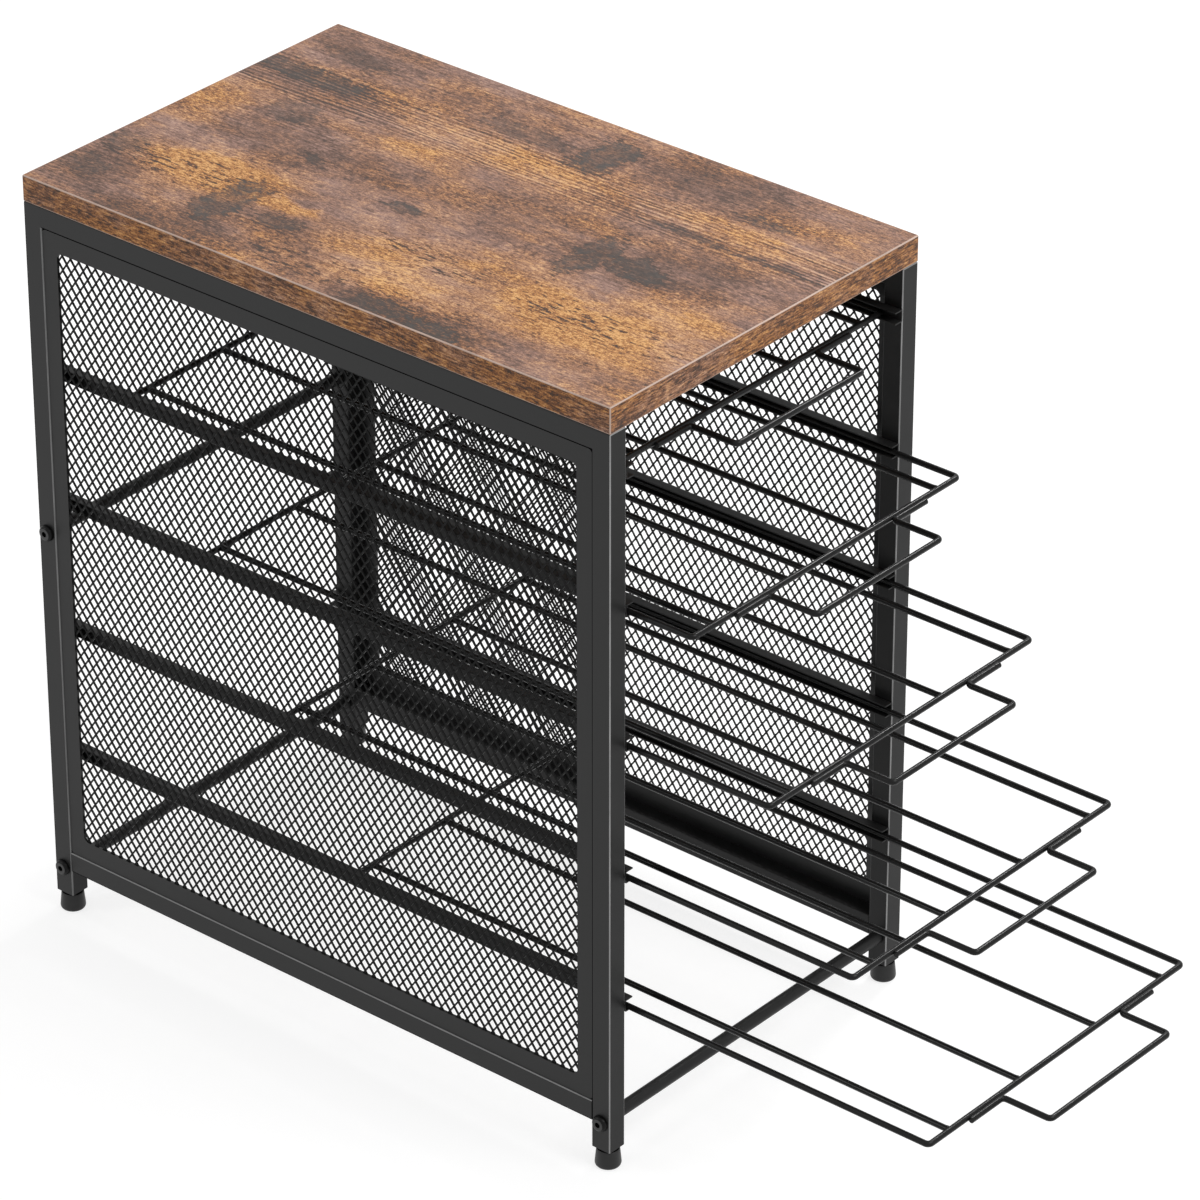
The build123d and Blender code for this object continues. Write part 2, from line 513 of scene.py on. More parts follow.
@dataclass(frozen=True)
class WoodFinish:
    """A rustic wood-grain laminate, its grain along one axis.

    Lengths are in millimetres. A fade says where a patch ends and where it has its full depth, as
    shares of its size. A gate eases a noise between two of its values from one result to another.
    """

    name: str
    across: Axis
    along: Axis
    seed: float
    stains: tuple[Mark, ...] = ()
    shades: tuple[Mark, ...] = ()
    glows: tuple[Mark, ...] = ()
    cracked: tuple[Mark, ...] = ()
    strip: float | None = None
    strip_half_width: float = 19.0
    strip_outside: float = 0.2
    line_pitch: float = 2.4
    wave_tone: float = 0.25
    brightness: float = 0.55
    warm: float = 0.30
    blotches: float = 1.0
    grain_gain: Span = (0.70, 1.50)
    meander: Layer = Layer(0.0, 60.0, 160.0, bend=9.0)
    feather: Layer = Layer(1.3, 1.6, 60.0, 3.0, 0.6, bend=26.0)
    cloud: Layer = Layer(3.1, 36.0, 70.0, 3.0, 0.55, tone=0.60)
    blotch: Layer = Layer(4.4, 6.5, 10.0, 5.0, 0.68, tone=0.90, warmth=0.9)
    fibre: Layer = Layer(5.7, 1.2, 22.0, 3.0, 0.6, tone=0.40, fray=0.3)
    mottle: Layer = Layer(6.1, 1.6, 3.6, 2.0, 0.6, tone=0.90, warmth=0.9, fray=0.7)
    dash: Layer = Layer(7.9, 0.75, 2.2, 2.0, 0.6, tone=1.05, warmth=0.7, relief=0.6)
    speck: Layer = Layer(9.2, 0.55, 0.7, 1.0, 0.5, tone=0.75, relief=0.4)
    uneven: Layer = Layer(12.4, 9.0, 140.0, bend=6.0)
    line: Layer = Layer(12.9, 1.3, 300.0, 1.0, 0.5, tone=1.1)
    broken: Layer = Layer(13.5, 5.0, 70.0)
    hue: Layer = Layer(14.6, 26.0, 60.0, 4.0, 0.6, warmth=2.7)
    streak: Layer = Layer(16.8, 0.9, 6.0, 2.0, 0.6)
    rag: Layer = Layer(20.3, 8.0, 9.0, 5.0, 0.66, fray=0.6, bend=15.0)
    sway: Layer = Layer(24.9, 13.0, 16.0, 4.0, 0.6, bend=20.0)
    swirl: Layer = Layer(28.4, 4.5, 2.6, 5.0, 0.7)
    slit: Layer = Layer(31.7, 1.6, 8.5, 3.0, 0.64)
    patch_feather: float = 9.0
    glow_fade: Span = (1.5, 0.2)
    glow_warmth: float = 4.0
    shade_fade: Span = (1.35, 0.6)
    crack_fade: Span = (1.3, 0.5)
    halo_fade: Span = (1.7, 0.6)
    halo_tone: float = 0.22
    rim_fade: Span = (1.1, 0.76)
    heart_fade: Span = (0.75, 0.3)
    heart_share: float = 0.5
    crust_place: float = 0.95
    crust_fade: Span = (0.10, 0.0)
    crust_tone: float = 0.25
    broken_gate: Gate = (0.3, 0.65, 0.35, 1.0)
    swirl_gate: Gate = (0.40, 0.60, 0.25, 1.0)
    slit_gate: Gate = (0.54, 0.61, 0.0, 0.75)
    roughness: float = 0.42
    specular: float = 0.2
    sheen_noise: Span = (0.3, 0.7)
    sheen_span: Span = (1.15, 0.85)
    relief_depth: float = 0.05
    relief_strength: float = 0.4
    charcoal: tuple[float, float, float, float] = (0.058, 0.054, 0.050, 1.0)
    golden: Tones = (
        (0.0, (0.050, 0.028, 0.018)),
        (0.25, (0.150, 0.056, 0.020)),
        (0.5, (0.330, 0.136, 0.042)),
        (0.75, (0.500, 0.232, 0.075)),
        (1.0, (0.710, 0.400, 0.155)),
    )
    brown: Tones = (
        (0.0, (0.052, 0.036, 0.029)),
        (0.25, (0.118, 0.063, 0.044)),
        (0.5, (0.244, 0.138, 0.106)),
        (0.75, (0.398, 0.243, 0.190)),
        (1.0, (0.610, 0.420, 0.330)),
    )

    def make(self) -> Material:
        """Build the material.

        Returns:
            The finished material.
        """
        desk = NodeDesk(self.name)
        grain = self.grain(desk)
        tone = desk.total(
            self.brightness,
            desk.swing(grain.cloud, self.cloud.tone),
            desk.swing(grain.blotch, self.blotch.tone * self.blotches),
            desk.swing(grain.fibre, self.fibre.tone),
        )
        fine = desk.total(
            desk.swing(grain.mottle, self.mottle.tone * self.blotches),
            desk.swing(grain.dash, self.dash.tone),
            desk.swing(grain.speck, self.speck.tone),
        )
        mellow = desk.total(
            self.warm,
            desk.swing(grain.hue, self.hue.warmth),
            desk.swing(grain.blotch, self.blotch.warmth),
        )
        if self.streak.tone:
            streak = self.draw(desk, self.streak, grain.plain, grain.along)
            tone = desk.math("ADD", tone, desk.swing(streak, self.streak.tone))
        if self.glows:
            glow = self.deepest(desk, self.ovals(desk, grain, self.glows), self.glow_fade)
            tone = desk.math("ADD", tone, glow)
            mellow = desk.math("ADD", mellow, desk.math("MULTIPLY", glow, self.glow_warmth))
        gain = desk.smooth(mellow, 0.0, 1.0, *self.grain_gain)
        tone = desk.math("MULTIPLY_ADD", fine, gain, tone)
        if self.shades:
            shade = self.deepest(desk, self.ovals(desk, grain, self.shades), self.shade_fade)
            tone = desk.math("SUBTRACT", tone, shade)
        if self.strip is not None:
            tone = desk.math("ADD", tone, self.lines(desk, grain))
        if self.cracked:
            gate = self.deepest(desk, self.ovals(desk, grain, self.cracked), self.crack_fade)
            tone = desk.math("SUBTRACT", tone, self.cracks(desk, grain, gate))
        burnt: NodeSocket | None = None
        if self.stains:
            tone, burnt = self.burn(desk, grain, tone)
        warmth = desk.total(
            mellow,
            desk.swing(grain.mottle, self.mottle.warmth),
            desk.swing(grain.dash, self.dash.warmth),
        )
        self.coat(desk, grain, tone, warmth, burnt)
        return desk.material

    def grain(self, desk: NodeDesk) -> Grain:
        """Draw the noises, on coordinates that meander and fray with the grain.

        Args:
            desk: The material under way.

        Returns:
            The coordinates and noises.
        """
        places = desk.places()
        plain, along = places[self.across.value], places[self.along.value]
        meander = self.draw(desk, self.meander, plain, along)
        across = desk.math("ADD", plain, desk.swing(meander, self.meander.bend))
        feather = self.draw(desk, self.feather, across, along)
        frayed = desk.math("ADD", along, desk.swing(feather, self.feather.bend))
        mottle = self.draw(desk, self.mottle, across, along)
        fibre = self.draw(desk, self.fibre, across, along)
        rag = self.draw(desk, self.rag, plain, along)
        sway = self.draw(desk, self.sway, plain, along)
        calm = desk.math("ADD", along, desk.swing(feather, self.patch_feather))
        fray = desk.total(
            desk.swing(mottle, self.mottle.fray),
            desk.swing(rag, self.rag.fray),
            desk.swing(fibre, self.fibre.fray),
        )
        return Grain(
            plain,
            across,
            along,
            ragged_across=desk.math("ADD", plain, desk.swing(rag, self.rag.bend)),
            ragged_along=desk.math("ADD", calm, desk.swing(sway, self.sway.bend)),
            fray=fray,
            cloud=self.draw(desk, self.cloud, across, frayed),
            blotch=self.draw(desk, self.blotch, across, frayed),
            hue=self.draw(desk, self.hue, across, frayed),
            mottle=mottle,
            fibre=fibre,
            dash=self.draw(desk, self.dash, across, along),
            speck=self.draw(desk, self.speck, plain, along),
        )

    def draw(
        self, desk: NodeDesk, layer: Layer, across: NodeSocket, along: NodeSocket
    ) -> NodeSocket:
        """Draw one layer of noise.

        Args:
            desk: The material under way.
            layer: The layer.
            across: The coordinate across the grain.
            along: The coordinate along the grain.

        Returns:
            The noise value, about 0.5 on average.
        """
        sizes = (layer.width, layer.length, 1.0)
        pick = self.seed + layer.pick
        return desk.noise(across, along, pick, sizes, layer.detail, layer.roughness)

    def ovals(
        self, desk: NodeDesk, grain: Grain, marks: tuple[Mark, ...]
    ) -> list[tuple[NodeSocket, float]]:
        """Measure how far each place is from the middles of oval patches.

        Args:
            desk: The material under way.
            grain: The coordinates and noises.
            marks: The patches.

        Returns:
            For each patch the distance, 1 at its edge, and its depth.
        """
        found = []
        for mark in marks:
            aside = desk.math("SUBTRACT", grain.ragged_across, mark.across)
            aside = desk.math("DIVIDE", aside, mark.half_width)
            ahead = desk.math("SUBTRACT", grain.ragged_along, mark.along)
            ahead = desk.math("DIVIDE", ahead, mark.half_length)
            square = desk.math("MULTIPLY_ADD", aside, aside, desk.math("MULTIPLY", ahead, ahead))
            found.append((desk.math("ADD", desk.math("SQRT", square), grain.fray), mark.depth))
        return found

    def deepest(
        self, desk: NodeDesk, ovals: list[tuple[NodeSocket, float]], fade: Span
    ) -> NodeSocket:
        """Lay oval patches over each other.

        Args:
            desk: The material under way.
            ovals: Each patch's distance and depth.
            fade: Where a patch ends and where it has its full depth.

        Returns:
            The deepest patch at each place.
        """
        patches = [desk.smooth(off, *fade, 0.0, depth) for off, depth in ovals]
        found = patches[0]
        for patch in patches[1:]:
            found = desk.math("MAXIMUM", found, patch)
        return found

    def burn(
        self, desk: NodeDesk, grain: Grain, tone: NodeSocket
    ) -> tuple[NodeSocket, NodeSocket]:
        """Darken the wood round the stains and burn their middles.

        Args:
            desk: The material under way.
            grain: The coordinates and noises.
            tone: The tone so far.

        Returns:
            The darkened tone, and the share of charcoal.
        """
        ovals = self.ovals(desk, grain, self.stains)
        halo = self.deepest(desk, ovals, self.halo_fade)
        tone = desk.math("SUBTRACT", tone, desk.math("MULTIPLY", halo, self.halo_tone))
        rim = self.deepest(desk, ovals, self.rim_fade)
        heart = self.deepest(desk, ovals, self.heart_fade)
        core = desk.math("SUBTRACT", rim, desk.math("MULTIPLY", heart, self.heart_share))
        swirl = self.draw(desk, self.swirl, grain.ragged_across, grain.ragged_along)
        burnt = desk.math("MULTIPLY", core, desk.smooth(swirl, *self.swirl_gate), clamp=True)
        edges = [
            (desk.math("ABSOLUTE", desk.math("SUBTRACT", off, self.crust_place)), depth)
            for off, depth in ovals
        ]
        crust = self.deepest(desk, edges, self.crust_fade)
        tone = desk.math("SUBTRACT", tone, desk.math("MULTIPLY", crust, self.crust_tone))
        return tone, burnt

    def lines(self, desk: NodeDesk, grain: Grain) -> NodeSocket:
        """Draw the strip of close, straight growth lines.

        Args:
            desk: The material under way.
            grain: The coordinates and noises.

        Returns:
            What is added to the tone.
        """
        uneven = self.draw(desk, self.uneven, grain.across, grain.along)
        line = self.draw(desk, self.line, grain.across, grain.along)
        broken = self.draw(desk, self.broken, grain.across, grain.along)
        bent = desk.math("ADD", grain.across, desk.swing(uneven, self.uneven.bend))
        turns = desk.math("DIVIDE", bent, self.line_pitch / math.tau)
        wave = desk.math("MULTIPLY", desk.math("SINE", turns), self.wave_tone)
        wave = desk.math("ADD", wave, desk.swing(line, self.line.tone))
        away = desk.math("ABSOLUTE", desk.math("SUBTRACT", grain.across, self.strip))
        outer, inner = self.strip_half_width, self.strip_half_width / 2
        strip = desk.smooth(away, outer, inner, self.strip_outside, 1.0)
        shown = desk.math("MULTIPLY", wave, strip)
        return desk.math("MULTIPLY", shown, desk.smooth(broken, *self.broken_gate))

    def cracks(self, desk: NodeDesk, grain: Grain, gate: NodeSocket) -> NodeSocket:
        """Cut short dark cracks and pores into the golden wood.

        Args:
            desk: The material under way.
            grain: The coordinates and noises.
            gate: Where the cracks gather.

        Returns:
            What is taken from the tone.
        """
        slit = self.draw(desk, self.slit, grain.across, grain.along)
        return desk.math("MULTIPLY", desk.smooth(slit, *self.slit_gate), gate)

    def coat(
        self,
        desk: NodeDesk,
        grain: Grain,
        tone: NodeSocket,
        warmth: NodeSocket,
        burnt: NodeSocket | None,
    ) -> None:
        """Give the surface its colour, sheen and relief.

        Args:
            desk: The material under way.
            grain: The coordinates and noises.
            tone: From dark to light.
            warmth: From brown to golden.
            burnt: The share of charcoal, if there is any.
        """
        held = desk.math("ADD", tone, 0.0, clamp=True)
        share = desk.math("ADD", warmth, 0.0, clamp=True)
        colour = desk.mix(share, desk.ramp(held, self.brown), desk.ramp(held, self.golden))
        if burnt is not None:
            colour = desk.mix(burnt, colour, self.charcoal)
        desk.feed(desk.shader.inputs["Base Color"], colour)
        sheen = (self.roughness * part for part in self.sheen_span)
        rough = desk.smooth(grain.dash, *self.sheen_noise, *sheen)
        desk.feed(desk.shader.inputs["Roughness"], rough)
        desk.surface(Specular_IOR_Level=self.specular)
        relief = desk.total(
            desk.math("MULTIPLY", grain.dash, self.dash.relief),
            desk.math("MULTIPLY", grain.speck, self.speck.relief),
        )
        desk.bump(relief, self.relief_depth, self.relief_strength)


# The board's larger marks, in millimetres from its middle.
STAINS: tuple[Mark, ...] = (
    Mark(-62.0, 79.0, 22.0, 10.5, 0.95),
    Mark(-63.0, 49.0, 6.5, 13.0, 0.70),
    Mark(-19.4, 17.7, 4.4, 9.0, 0.95),
    Mark(-9.0, 76.0, 4.0, 6.0, 0.50),
    Mark(20.0, 116.0, 10.0, 15.0, 0.45),
    Mark(53.0, 138.0, 7.5, 36.0, 0.75),
    Mark(78.0, 128.0, 7.0, 22.0, 0.36),
    Mark(72.0, -15.5, 18.0, 11.0, 0.95),
    Mark(68.0, 25.0, 7.0, 26.0, 0.40),
    Mark(-3.0, -70.0, 22.0, 8.0, 0.80),
    Mark(-1.0, -93.0, 9.0, 15.0, 0.85),
    Mark(-93.0, -36.0, 6.0, 16.0, 0.55),
    Mark(-96.0, -64.0, 6.0, 14.0, 0.85),
    Mark(38.0, -110.0, 1.6, 50.0, 0.65),
    Mark(67.0, -110.0, 4.0, 13.0, 0.70),
    Mark(-47.0, 151.0, 9.0, 9.0, 0.60),
    Mark(-74.0, 150.0, 9.0, 12.0, 0.45),
)
SHADES: tuple[Mark, ...] = (
    Mark(-3.0, 98.0, 22.0, 38.0, 0.22),
    Mark(-2.0, 58.0, 12.0, 30.0, 0.14),
    Mark(5.0, -40.0, 22.0, 42.0, 0.17),
    Mark(12.0, -112.0, 26.0, 32.0, 0.22),
    Mark(76.0, 42.0, 18.0, 42.0, 0.14),
    Mark(80.0, -72.0, 20.0, 44.0, 0.20),
    Mark(88.0, 130.0, 14.0, 40.0, 0.12),
    Mark(-94.0, 85.0, 15.0, 40.0, 0.24),
    Mark(-93.0, -50.0, 14.0, 44.0, 0.26),
    Mark(-72.0, 142.0, 24.0, 18.0, 0.16),
    Mark(44.0, 125.0, 14.0, 50.0, 0.16),
    Mark(38.0, -100.0, 7.0, 70.0, 0.18),
    Mark(-76.0, 45.0, 16.0, 28.0, 0.12),
)
GLOWS: tuple[Mark, ...] = (
    Mark(-46.0, 105.0, 15.0, 42.0, 0.20),
    Mark(-50.0, 62.0, 6.0, 24.0, 0.26),
    Mark(-62.0, -20.0, 28.0, 50.0, 0.18),
    Mark(-50.0, -110.0, 26.0, 54.0, 0.22),
    Mark(-22.0, -132.0, 12.0, 36.0, 0.18),
    Mark(12.0, 152.0, 22.0, 20.0, 0.12),
    Mark(46.0, 20.0, 14.0, 60.0, 0.12),
    Mark(52.0, -112.0, 9.0, 50.0, 0.12),
    Mark(22.0, 50.0, 8.0, 34.0, 0.10),
)
CRACKED: tuple[Mark, ...] = (
    Mark(-50.0, 120.0, 12.0, 44.0, 1.0),
    Mark(-48.0, -20.0, 10.0, 36.0, 0.9),
    Mark(-50.0, -110.0, 13.0, 50.0, 1.0),
    Mark(-85.0, 0.0, 14.0, 60.0, 0.6),
)


@dataclass
class Finishes:
    """All finishes of the part, made once."""

    board_top: Material = field(init=False)
    band_side: Material = field(init=False)
    band_end: Material = field(init=False)
    board_line: Material = field(init=False)
    coat: Material = field(init=False)
    # Next: two painted highlights for the tubes' corners, a near-black painted shade, and a darker
    # painted-shade copy of the coat.
    coat_bright: Material = field(init=False)
    coat_soft: Material = field(init=False)
    coat_seam: Material = field(init=False)
    coat_inner: Material = field(init=False)
    mesh: Material = field(init=False)
    wire: Material = field(init=False)
    bolt: Material = field(init=False)
    # The bolt heads' painted shade on flanks and sockets.
    bolt_flank: Material = field(init=False)
    zinc: Material = field(init=False)
    plug: Material = field(init=False)

    def __post_init__(self) -> None:
        """Make every material."""
        self.make_woods()
        self.make_coats()

    def make_woods(self) -> None:
        """Make the board's laminate and its two edge bands."""
        self.board_top = WoodFinish(
            "rustic_laminate",
            Axis.X,
            Axis.Y,
            seed=2.0,
            stains=STAINS,
            shades=SHADES,
            glows=GLOWS,
            cracked=CRACKED,
            strip=46.0,
        ).make()
        band = {
            "cloud": replace(WoodFinish.cloud, width=16.0, length=30.0),
            "streak": replace(WoodFinish.streak, tone=1.9),
            "brightness": 0.41,
            "warm": 0.72,
            "blotches": 0.45,
            "grain_gain": (1.0, 1.0),
        }
        self.band_side = WoodFinish("edge_band_side", Axis.Z, Axis.Y, seed=40.0, **band).make()
        self.band_end = WoodFinish("edge_band_end", Axis.Z, Axis.X, seed=60.0, **band).make()

    def make_coats(self) -> None:
        """Make the coats of metal and plastic, the painted highlights and shade, and the laminate's
        edge line.
        """
        coats = {
            "board_line": CoatFinish("laminate_edge_line", (0.52, 0.38, 0.31), 0.5),
            "coat": CoatFinish("black_powder_coat", grey(0.009), 0.42, specular=0.31),
            # A pale, half-metal painted highlight on the middle strips of the tubes' front corners.
            "coat_bright": CoatFinish("painted_highlight_coat_edge", grey(0.26), 0.34, metallic=0.4),
            # A fainter painted highlight on the tubes' other corners that lean to the front or up.
            "coat_soft": CoatFinish("painted_soft_highlight_coat_edge", grey(0.16), 0.38, metallic=0.3),
            # Near-black painted shade for the gaps along the frame's opening, the sheet's top edge
            # and the feet's necks.
            "coat_seam": CoatFinish("thick_coat_seam", grey(0.003), 0.5, specular=0.0),
            # A darker, duller painted-shade copy of the coat for faces turned inwards or to the
            # front, the runners' insides and the crossbars.
            "coat_inner": CoatFinish("inner_powder_coat", grey(0.012), 0.45, specular=0.2),
            "mesh": CoatFinish("black_coated_mesh", grey(0.003), 0.45, specular=0.12),
            "wire": CoatFinish(
                "black_wire_enamel", grey(0.008), 0.26, specular=0.16, grain_depth=0.002
            ),
            "bolt": CoatFinish("black_oxide_steel", grey(0.016), 0.40, grain_depth=0.015),
            # Near-black painted shade for the bolt heads' flanks and sockets.
            "bolt_flank": CoatFinish("black_oxide_flank", grey(0.003), 0.34, specular=0.15),
            "zinc": CoatFinish(
                "zinc_plated_steel", (0.55, 0.56, 0.58), 0.32, metallic=1.0, grain_depth=0.01
            ),
            "plug": CoatFinish("black_plug_plastic", grey(0.015), 0.48, specular=0.33),
        }
        for place, finish in coats.items():
            setattr(self, place, finish.make())


def flatness(face: BMFace) -> float:
    """Tell how squarely a face looks along one of the axes, 1 being exactly."""
    return max(abs(part) for part in face.normal)


@dataclass
class Piece:
    """One shown piece: a mesh under way, its finishes and the CAD nodes that it stands for."""

    name: str
    body: str
    slot: Slot
    nodes: tuple[str, ...]
    finishes: tuple[Material, ...]
    mesh: BMesh = field(default_factory=bmesh.new)

    def sharpen(self, smooth_degrees: float) -> None:
        """Shade the faces smoothly, but keep the edges sharp that bend far or end a flat side.

        Args:
            smooth_degrees: Edges that bend more than this stay sharp.
        """
        self.mesh.normal_update()
        for face in self.mesh.faces:
            face.smooth = True
        for edge in self.mesh.edges:
            flats = [flatness(face) > DEAD_FLAT for face in edge.link_faces]
            even = len(flats) == 2 and flats[0] == flats[1]
            edge.smooth = even and edge.calc_face_angle() < math.radians(smooth_degrees)

    def place(self, smooth_degrees: float = 40.0) -> Object:
        """Turn the mesh into an object that rides on its body.

        Args:
            smooth_degrees: Edges that bend more than this stay sharp.

        Returns:
            The new object.
        """
        self.sharpen(smooth_degrees)
        data = bpy.data.meshes.new(self.name)
        self.mesh.to_mesh(data)
        self.mesh.free()
        for finish in self.finishes:
            data.materials.append(finish)
        shown = bpy.data.objects.new(self.name, data)
        bpy.context.scene.collection.objects.link(shown)
        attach(shown, self.body)
        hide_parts(*self.nodes)
        LOG.info("%s: %d faces", self.name, len(data.polygons))
        return shown


def runs_along(edge: BMEdge) -> bool:
    """Tell whether an edge goes from front to back."""
    return abs(edge.verts[0].co.y - edge.verts[1].co.y) > MM


def box_matrix(low: Vector, high: Vector) -> Matrix:
    """Map a unit cube onto a box.

    Args:
        low: The box's lowest corner.
        high: The box's highest corner.

    Returns:
        The matrix.
    """
    return Matrix.LocRotScale((low + high) / 2, None, high - low)


def new_parts(made: dict, kind: type) -> list:
    """Pick one kind of element out of what an operator made.

    Args:
        made: The operator's result.
        kind: The element type.

    Returns:
        The elements.
    """
    return [part for part in made["geom"] if isinstance(part, kind)]


def bevel(
    mesh: BMesh, geom: list, offset: float, segments: int, kind: Bevel = Bevel.EDGES
) -> None:
    """Round edges or corners off.

    Args:
        mesh: The mesh under way.
        geom: The edges or the corners.
        offset: How far the rounding reaches.
        segments: How many steps it has.
        kind: Whether edges or corners are rounded.
    """
    bmesh.ops.bevel(
        mesh,
        geom=geom,
        offset=offset,
        segments=segments,
        profile=0.5,
        affect=kind.value,
        material=-1,
    )


def draw_ring(mesh: BMesh, ring: list[BMEdge]) -> tuple[list[BMVert], list[BMEdge]]:
    """Start a new band of faces on a ring of edges.

    Args:
        mesh: The mesh under way.
        ring: The ring that the band starts from.

    Returns:
        The corners and the edges of the band's other end, which still lie on the ring.
    """
    made = bmesh.ops.extrude_edge_only(mesh, edges=ring)
    verts = new_parts(made, BMVert)
    ends = set(verts)
    return verts, [edge for edge in new_parts(made, BMEdge) if ends.issuperset(edge.verts)]


def rim_edges(mesh: BMesh, verts: set[BMVert], radius: float) -> list[BMEdge]:
    """Find the ring of edges at a radius round the upright axis.

    Args:
        mesh: The mesh under way.
        verts: The corners that count.
        radius: The ring's radius.

    Returns:
        The ring's edges.
    """
    rim = {vert for vert in verts if abs(vert.co.xy.length - radius) < NEAR}
    return [edge for edge in mesh.edges if rim.issuperset(edge.verts)]


def thicken(
    mesh: BMesh, faces: list[BMFace], outward: Callable[[BMFace], float], thickness: float
) -> None:
    """Turn faces outwards and give them a wall inwards.

    Args:
        mesh: The mesh under way.
        faces: The outer faces.
        outward: Is below zero for a face that looks inwards.
        thickness: The wall's thickness.
    """
    mesh.normal_update()
    wrong = [face for face in faces if outward(face) < 0]
    bmesh.ops.reverse_faces(mesh, faces=wrong)
    mesh.normal_update()
    bmesh.ops.solidify(mesh, geom=faces, thickness=thickness)


@dataclass
class WireRun:
    """A round wire drawn through a mesh at one level, along straight runs and round bends."""

    mesh: BMesh
    radius: float
    bend_radius: float = 2.0 * MM
    sides: int = 20
    bend_steps: int = 8
    spot: Vector = field(default_factory=Vector)
    heading: float = 0.0
    ring: list[BMEdge] = field(default_factory=list)

    @property
    def forward(self) -> Vector:
        """The direction that the wire is heading in."""
        return Vector((math.cos(self.heading), math.sin(self.heading), 0.0))

    def start(self, spot: Vector, heading_degrees: float, closed: bool = False) -> None:
        """Put the wire's first ring down.

        Args:
            spot: The centre of the wire's start.
            heading_degrees: The direction in the level plane, 0 along +X.
            closed: Whether the start gets a flat face.
        """
        self.spot = spot.copy()
        self.heading = math.radians(heading_degrees)
        turn = Matrix.Rotation(self.heading, 4, "Z") @ Matrix.Rotation(QUARTER_TURN, 4, "Y")
        made = bmesh.ops.create_circle(
            self.mesh,
            segments=self.sides,
            radius=self.radius,
            matrix=Matrix.Translation(spot) @ turn,
        )
        self.ring = list({edge for vert in made["verts"] for edge in vert.link_edges})
        if closed:
            self.fill()

    def fill(self) -> None:
        """Close the wire's present end with a flat face."""
        bmesh.ops.edgeloop_fill(self.mesh, edges=self.ring)

    def run(self, length: float, swell: float = 1.0) -> None:
        """Draw the wire straight on.

        Args:
            length: How far.
            swell: How much wider it is at the end.
        """
        verts, self.ring = draw_ring(self.mesh, self.ring)
        bmesh.ops.translate(self.mesh, verts=verts, vec=self.forward * length)
        self.spot += self.forward * length
        centre = Matrix.Translation(-self.spot)
        bmesh.ops.scale(self.mesh, verts=verts, vec=(swell,) * 3, space=centre)

    def bend(self, degrees: float) -> None:
        """Turn the wire in its plane.

        Args:
            degrees: The turn, to the left if above zero.
        """
        turn = math.radians(degrees)
        left = Vector((-math.sin(self.heading), math.cos(self.heading), 0.0))
        centre = self.spot + left * math.copysign(self.bend_radius, turn)
        around = Matrix.Rotation(turn, 3, "Z")
        verts = list({vert for edge in self.ring for vert in edge.verts})
        made = bmesh.ops.spin(
            self.mesh,
            geom=verts + self.ring,
            cent=centre,
            axis=(0.0, 0.0, 1.0),
            angle=turn,
            steps=self.bend_steps,
        )
        self.ring = [part for part in made["geom_last"] if isinstance(part, BMEdge)]
        self.spot = centre + around @ (self.spot - centre)
        self.heading += turn

    def tidy(self) -> None:
        """Merge what meets and turn every face outwards."""
        bmesh.ops.remove_doubles(self.mesh, verts=self.mesh.verts, dist=MEET)
        bmesh.ops.recalc_face_normals(self.mesh, faces=self.mesh.faces)


def lathe(mesh: BMesh, profile: Profile, steps: int, matrix: Matrix) -> list[BMVert]:
    """Turn a profile into a round solid.

    Args:
        mesh: The mesh that it is added to.
        profile: Radius and height of each corner, in millimetres.
        steps: How many sides the round has.
        matrix: Where the solid's upright axis goes.

    Returns:
        The new vertices.
    """
    before = set(mesh.verts)
    line = [mesh.verts.new((radius * MM, 0.0, height * MM)) for radius, height in profile]
    edges = [mesh.edges.new(pair) for pair in zip(line, line[1:])]
    bmesh.ops.spin(
        mesh,
        geom=line + edges,
        cent=(0.0, 0.0, 0.0),
        axis=(0.0, 0.0, 1.0),
        angle=math.tau,
        steps=steps,
        use_merge=True,
    )
    made = [vert for vert in mesh.verts if vert not in before]
    bmesh.ops.remove_doubles(mesh, verts=made, dist=MEET)
    made = [vert for vert in mesh.verts if vert not in before]
    bmesh.ops.transform(mesh, matrix=matrix, verts=made)
    return made


@dataclass
class TopBoard:
    """The wood-grain board, with pale lines where its laminate ends at the edges."""

    finishes: Finishes
    edge_round: float = 0.5 * MM
    edge_steps: int = 3
    line_lowest: float = -0.3

    def build(self) -> None:
        """Build and place the board."""
        look = self.finishes
        piece = Piece(
            "grain_board",
            "cabinet",
            Slot.BOARD,
            ("top_board",),
            (look.board_top, look.band_side, look.band_end, look.board_line),
        )
        mesh = piece.mesh
        bmesh.ops.create_cube(mesh, size=1.0, matrix=box_matrix(*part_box("top_board")))
        bevel(mesh, list(mesh.edges), self.edge_round, self.edge_steps)
        self.dress(piece)
        piece.place()

    def dress(self, piece: Piece) -> None:
        """Give the faces, the edge bands and the edge lines their finishes.

        Args:
            piece: The board under way.
        """
        sides = {
            Axis.X: BoardLook.SIDE_BAND,
            Axis.Y: BoardLook.END_BAND,
            Axis.Z: BoardLook.TOP,
        }
        piece.mesh.normal_update()
        for face in piece.mesh.faces:
            lean = [abs(part) for part in face.normal]
            look = sides[Axis(lean.index(max(lean)))]
            if flatness(face) < FLAT and face.normal.z > self.line_lowest:
                look = BoardLook.LINE
            face.material_index = look.value


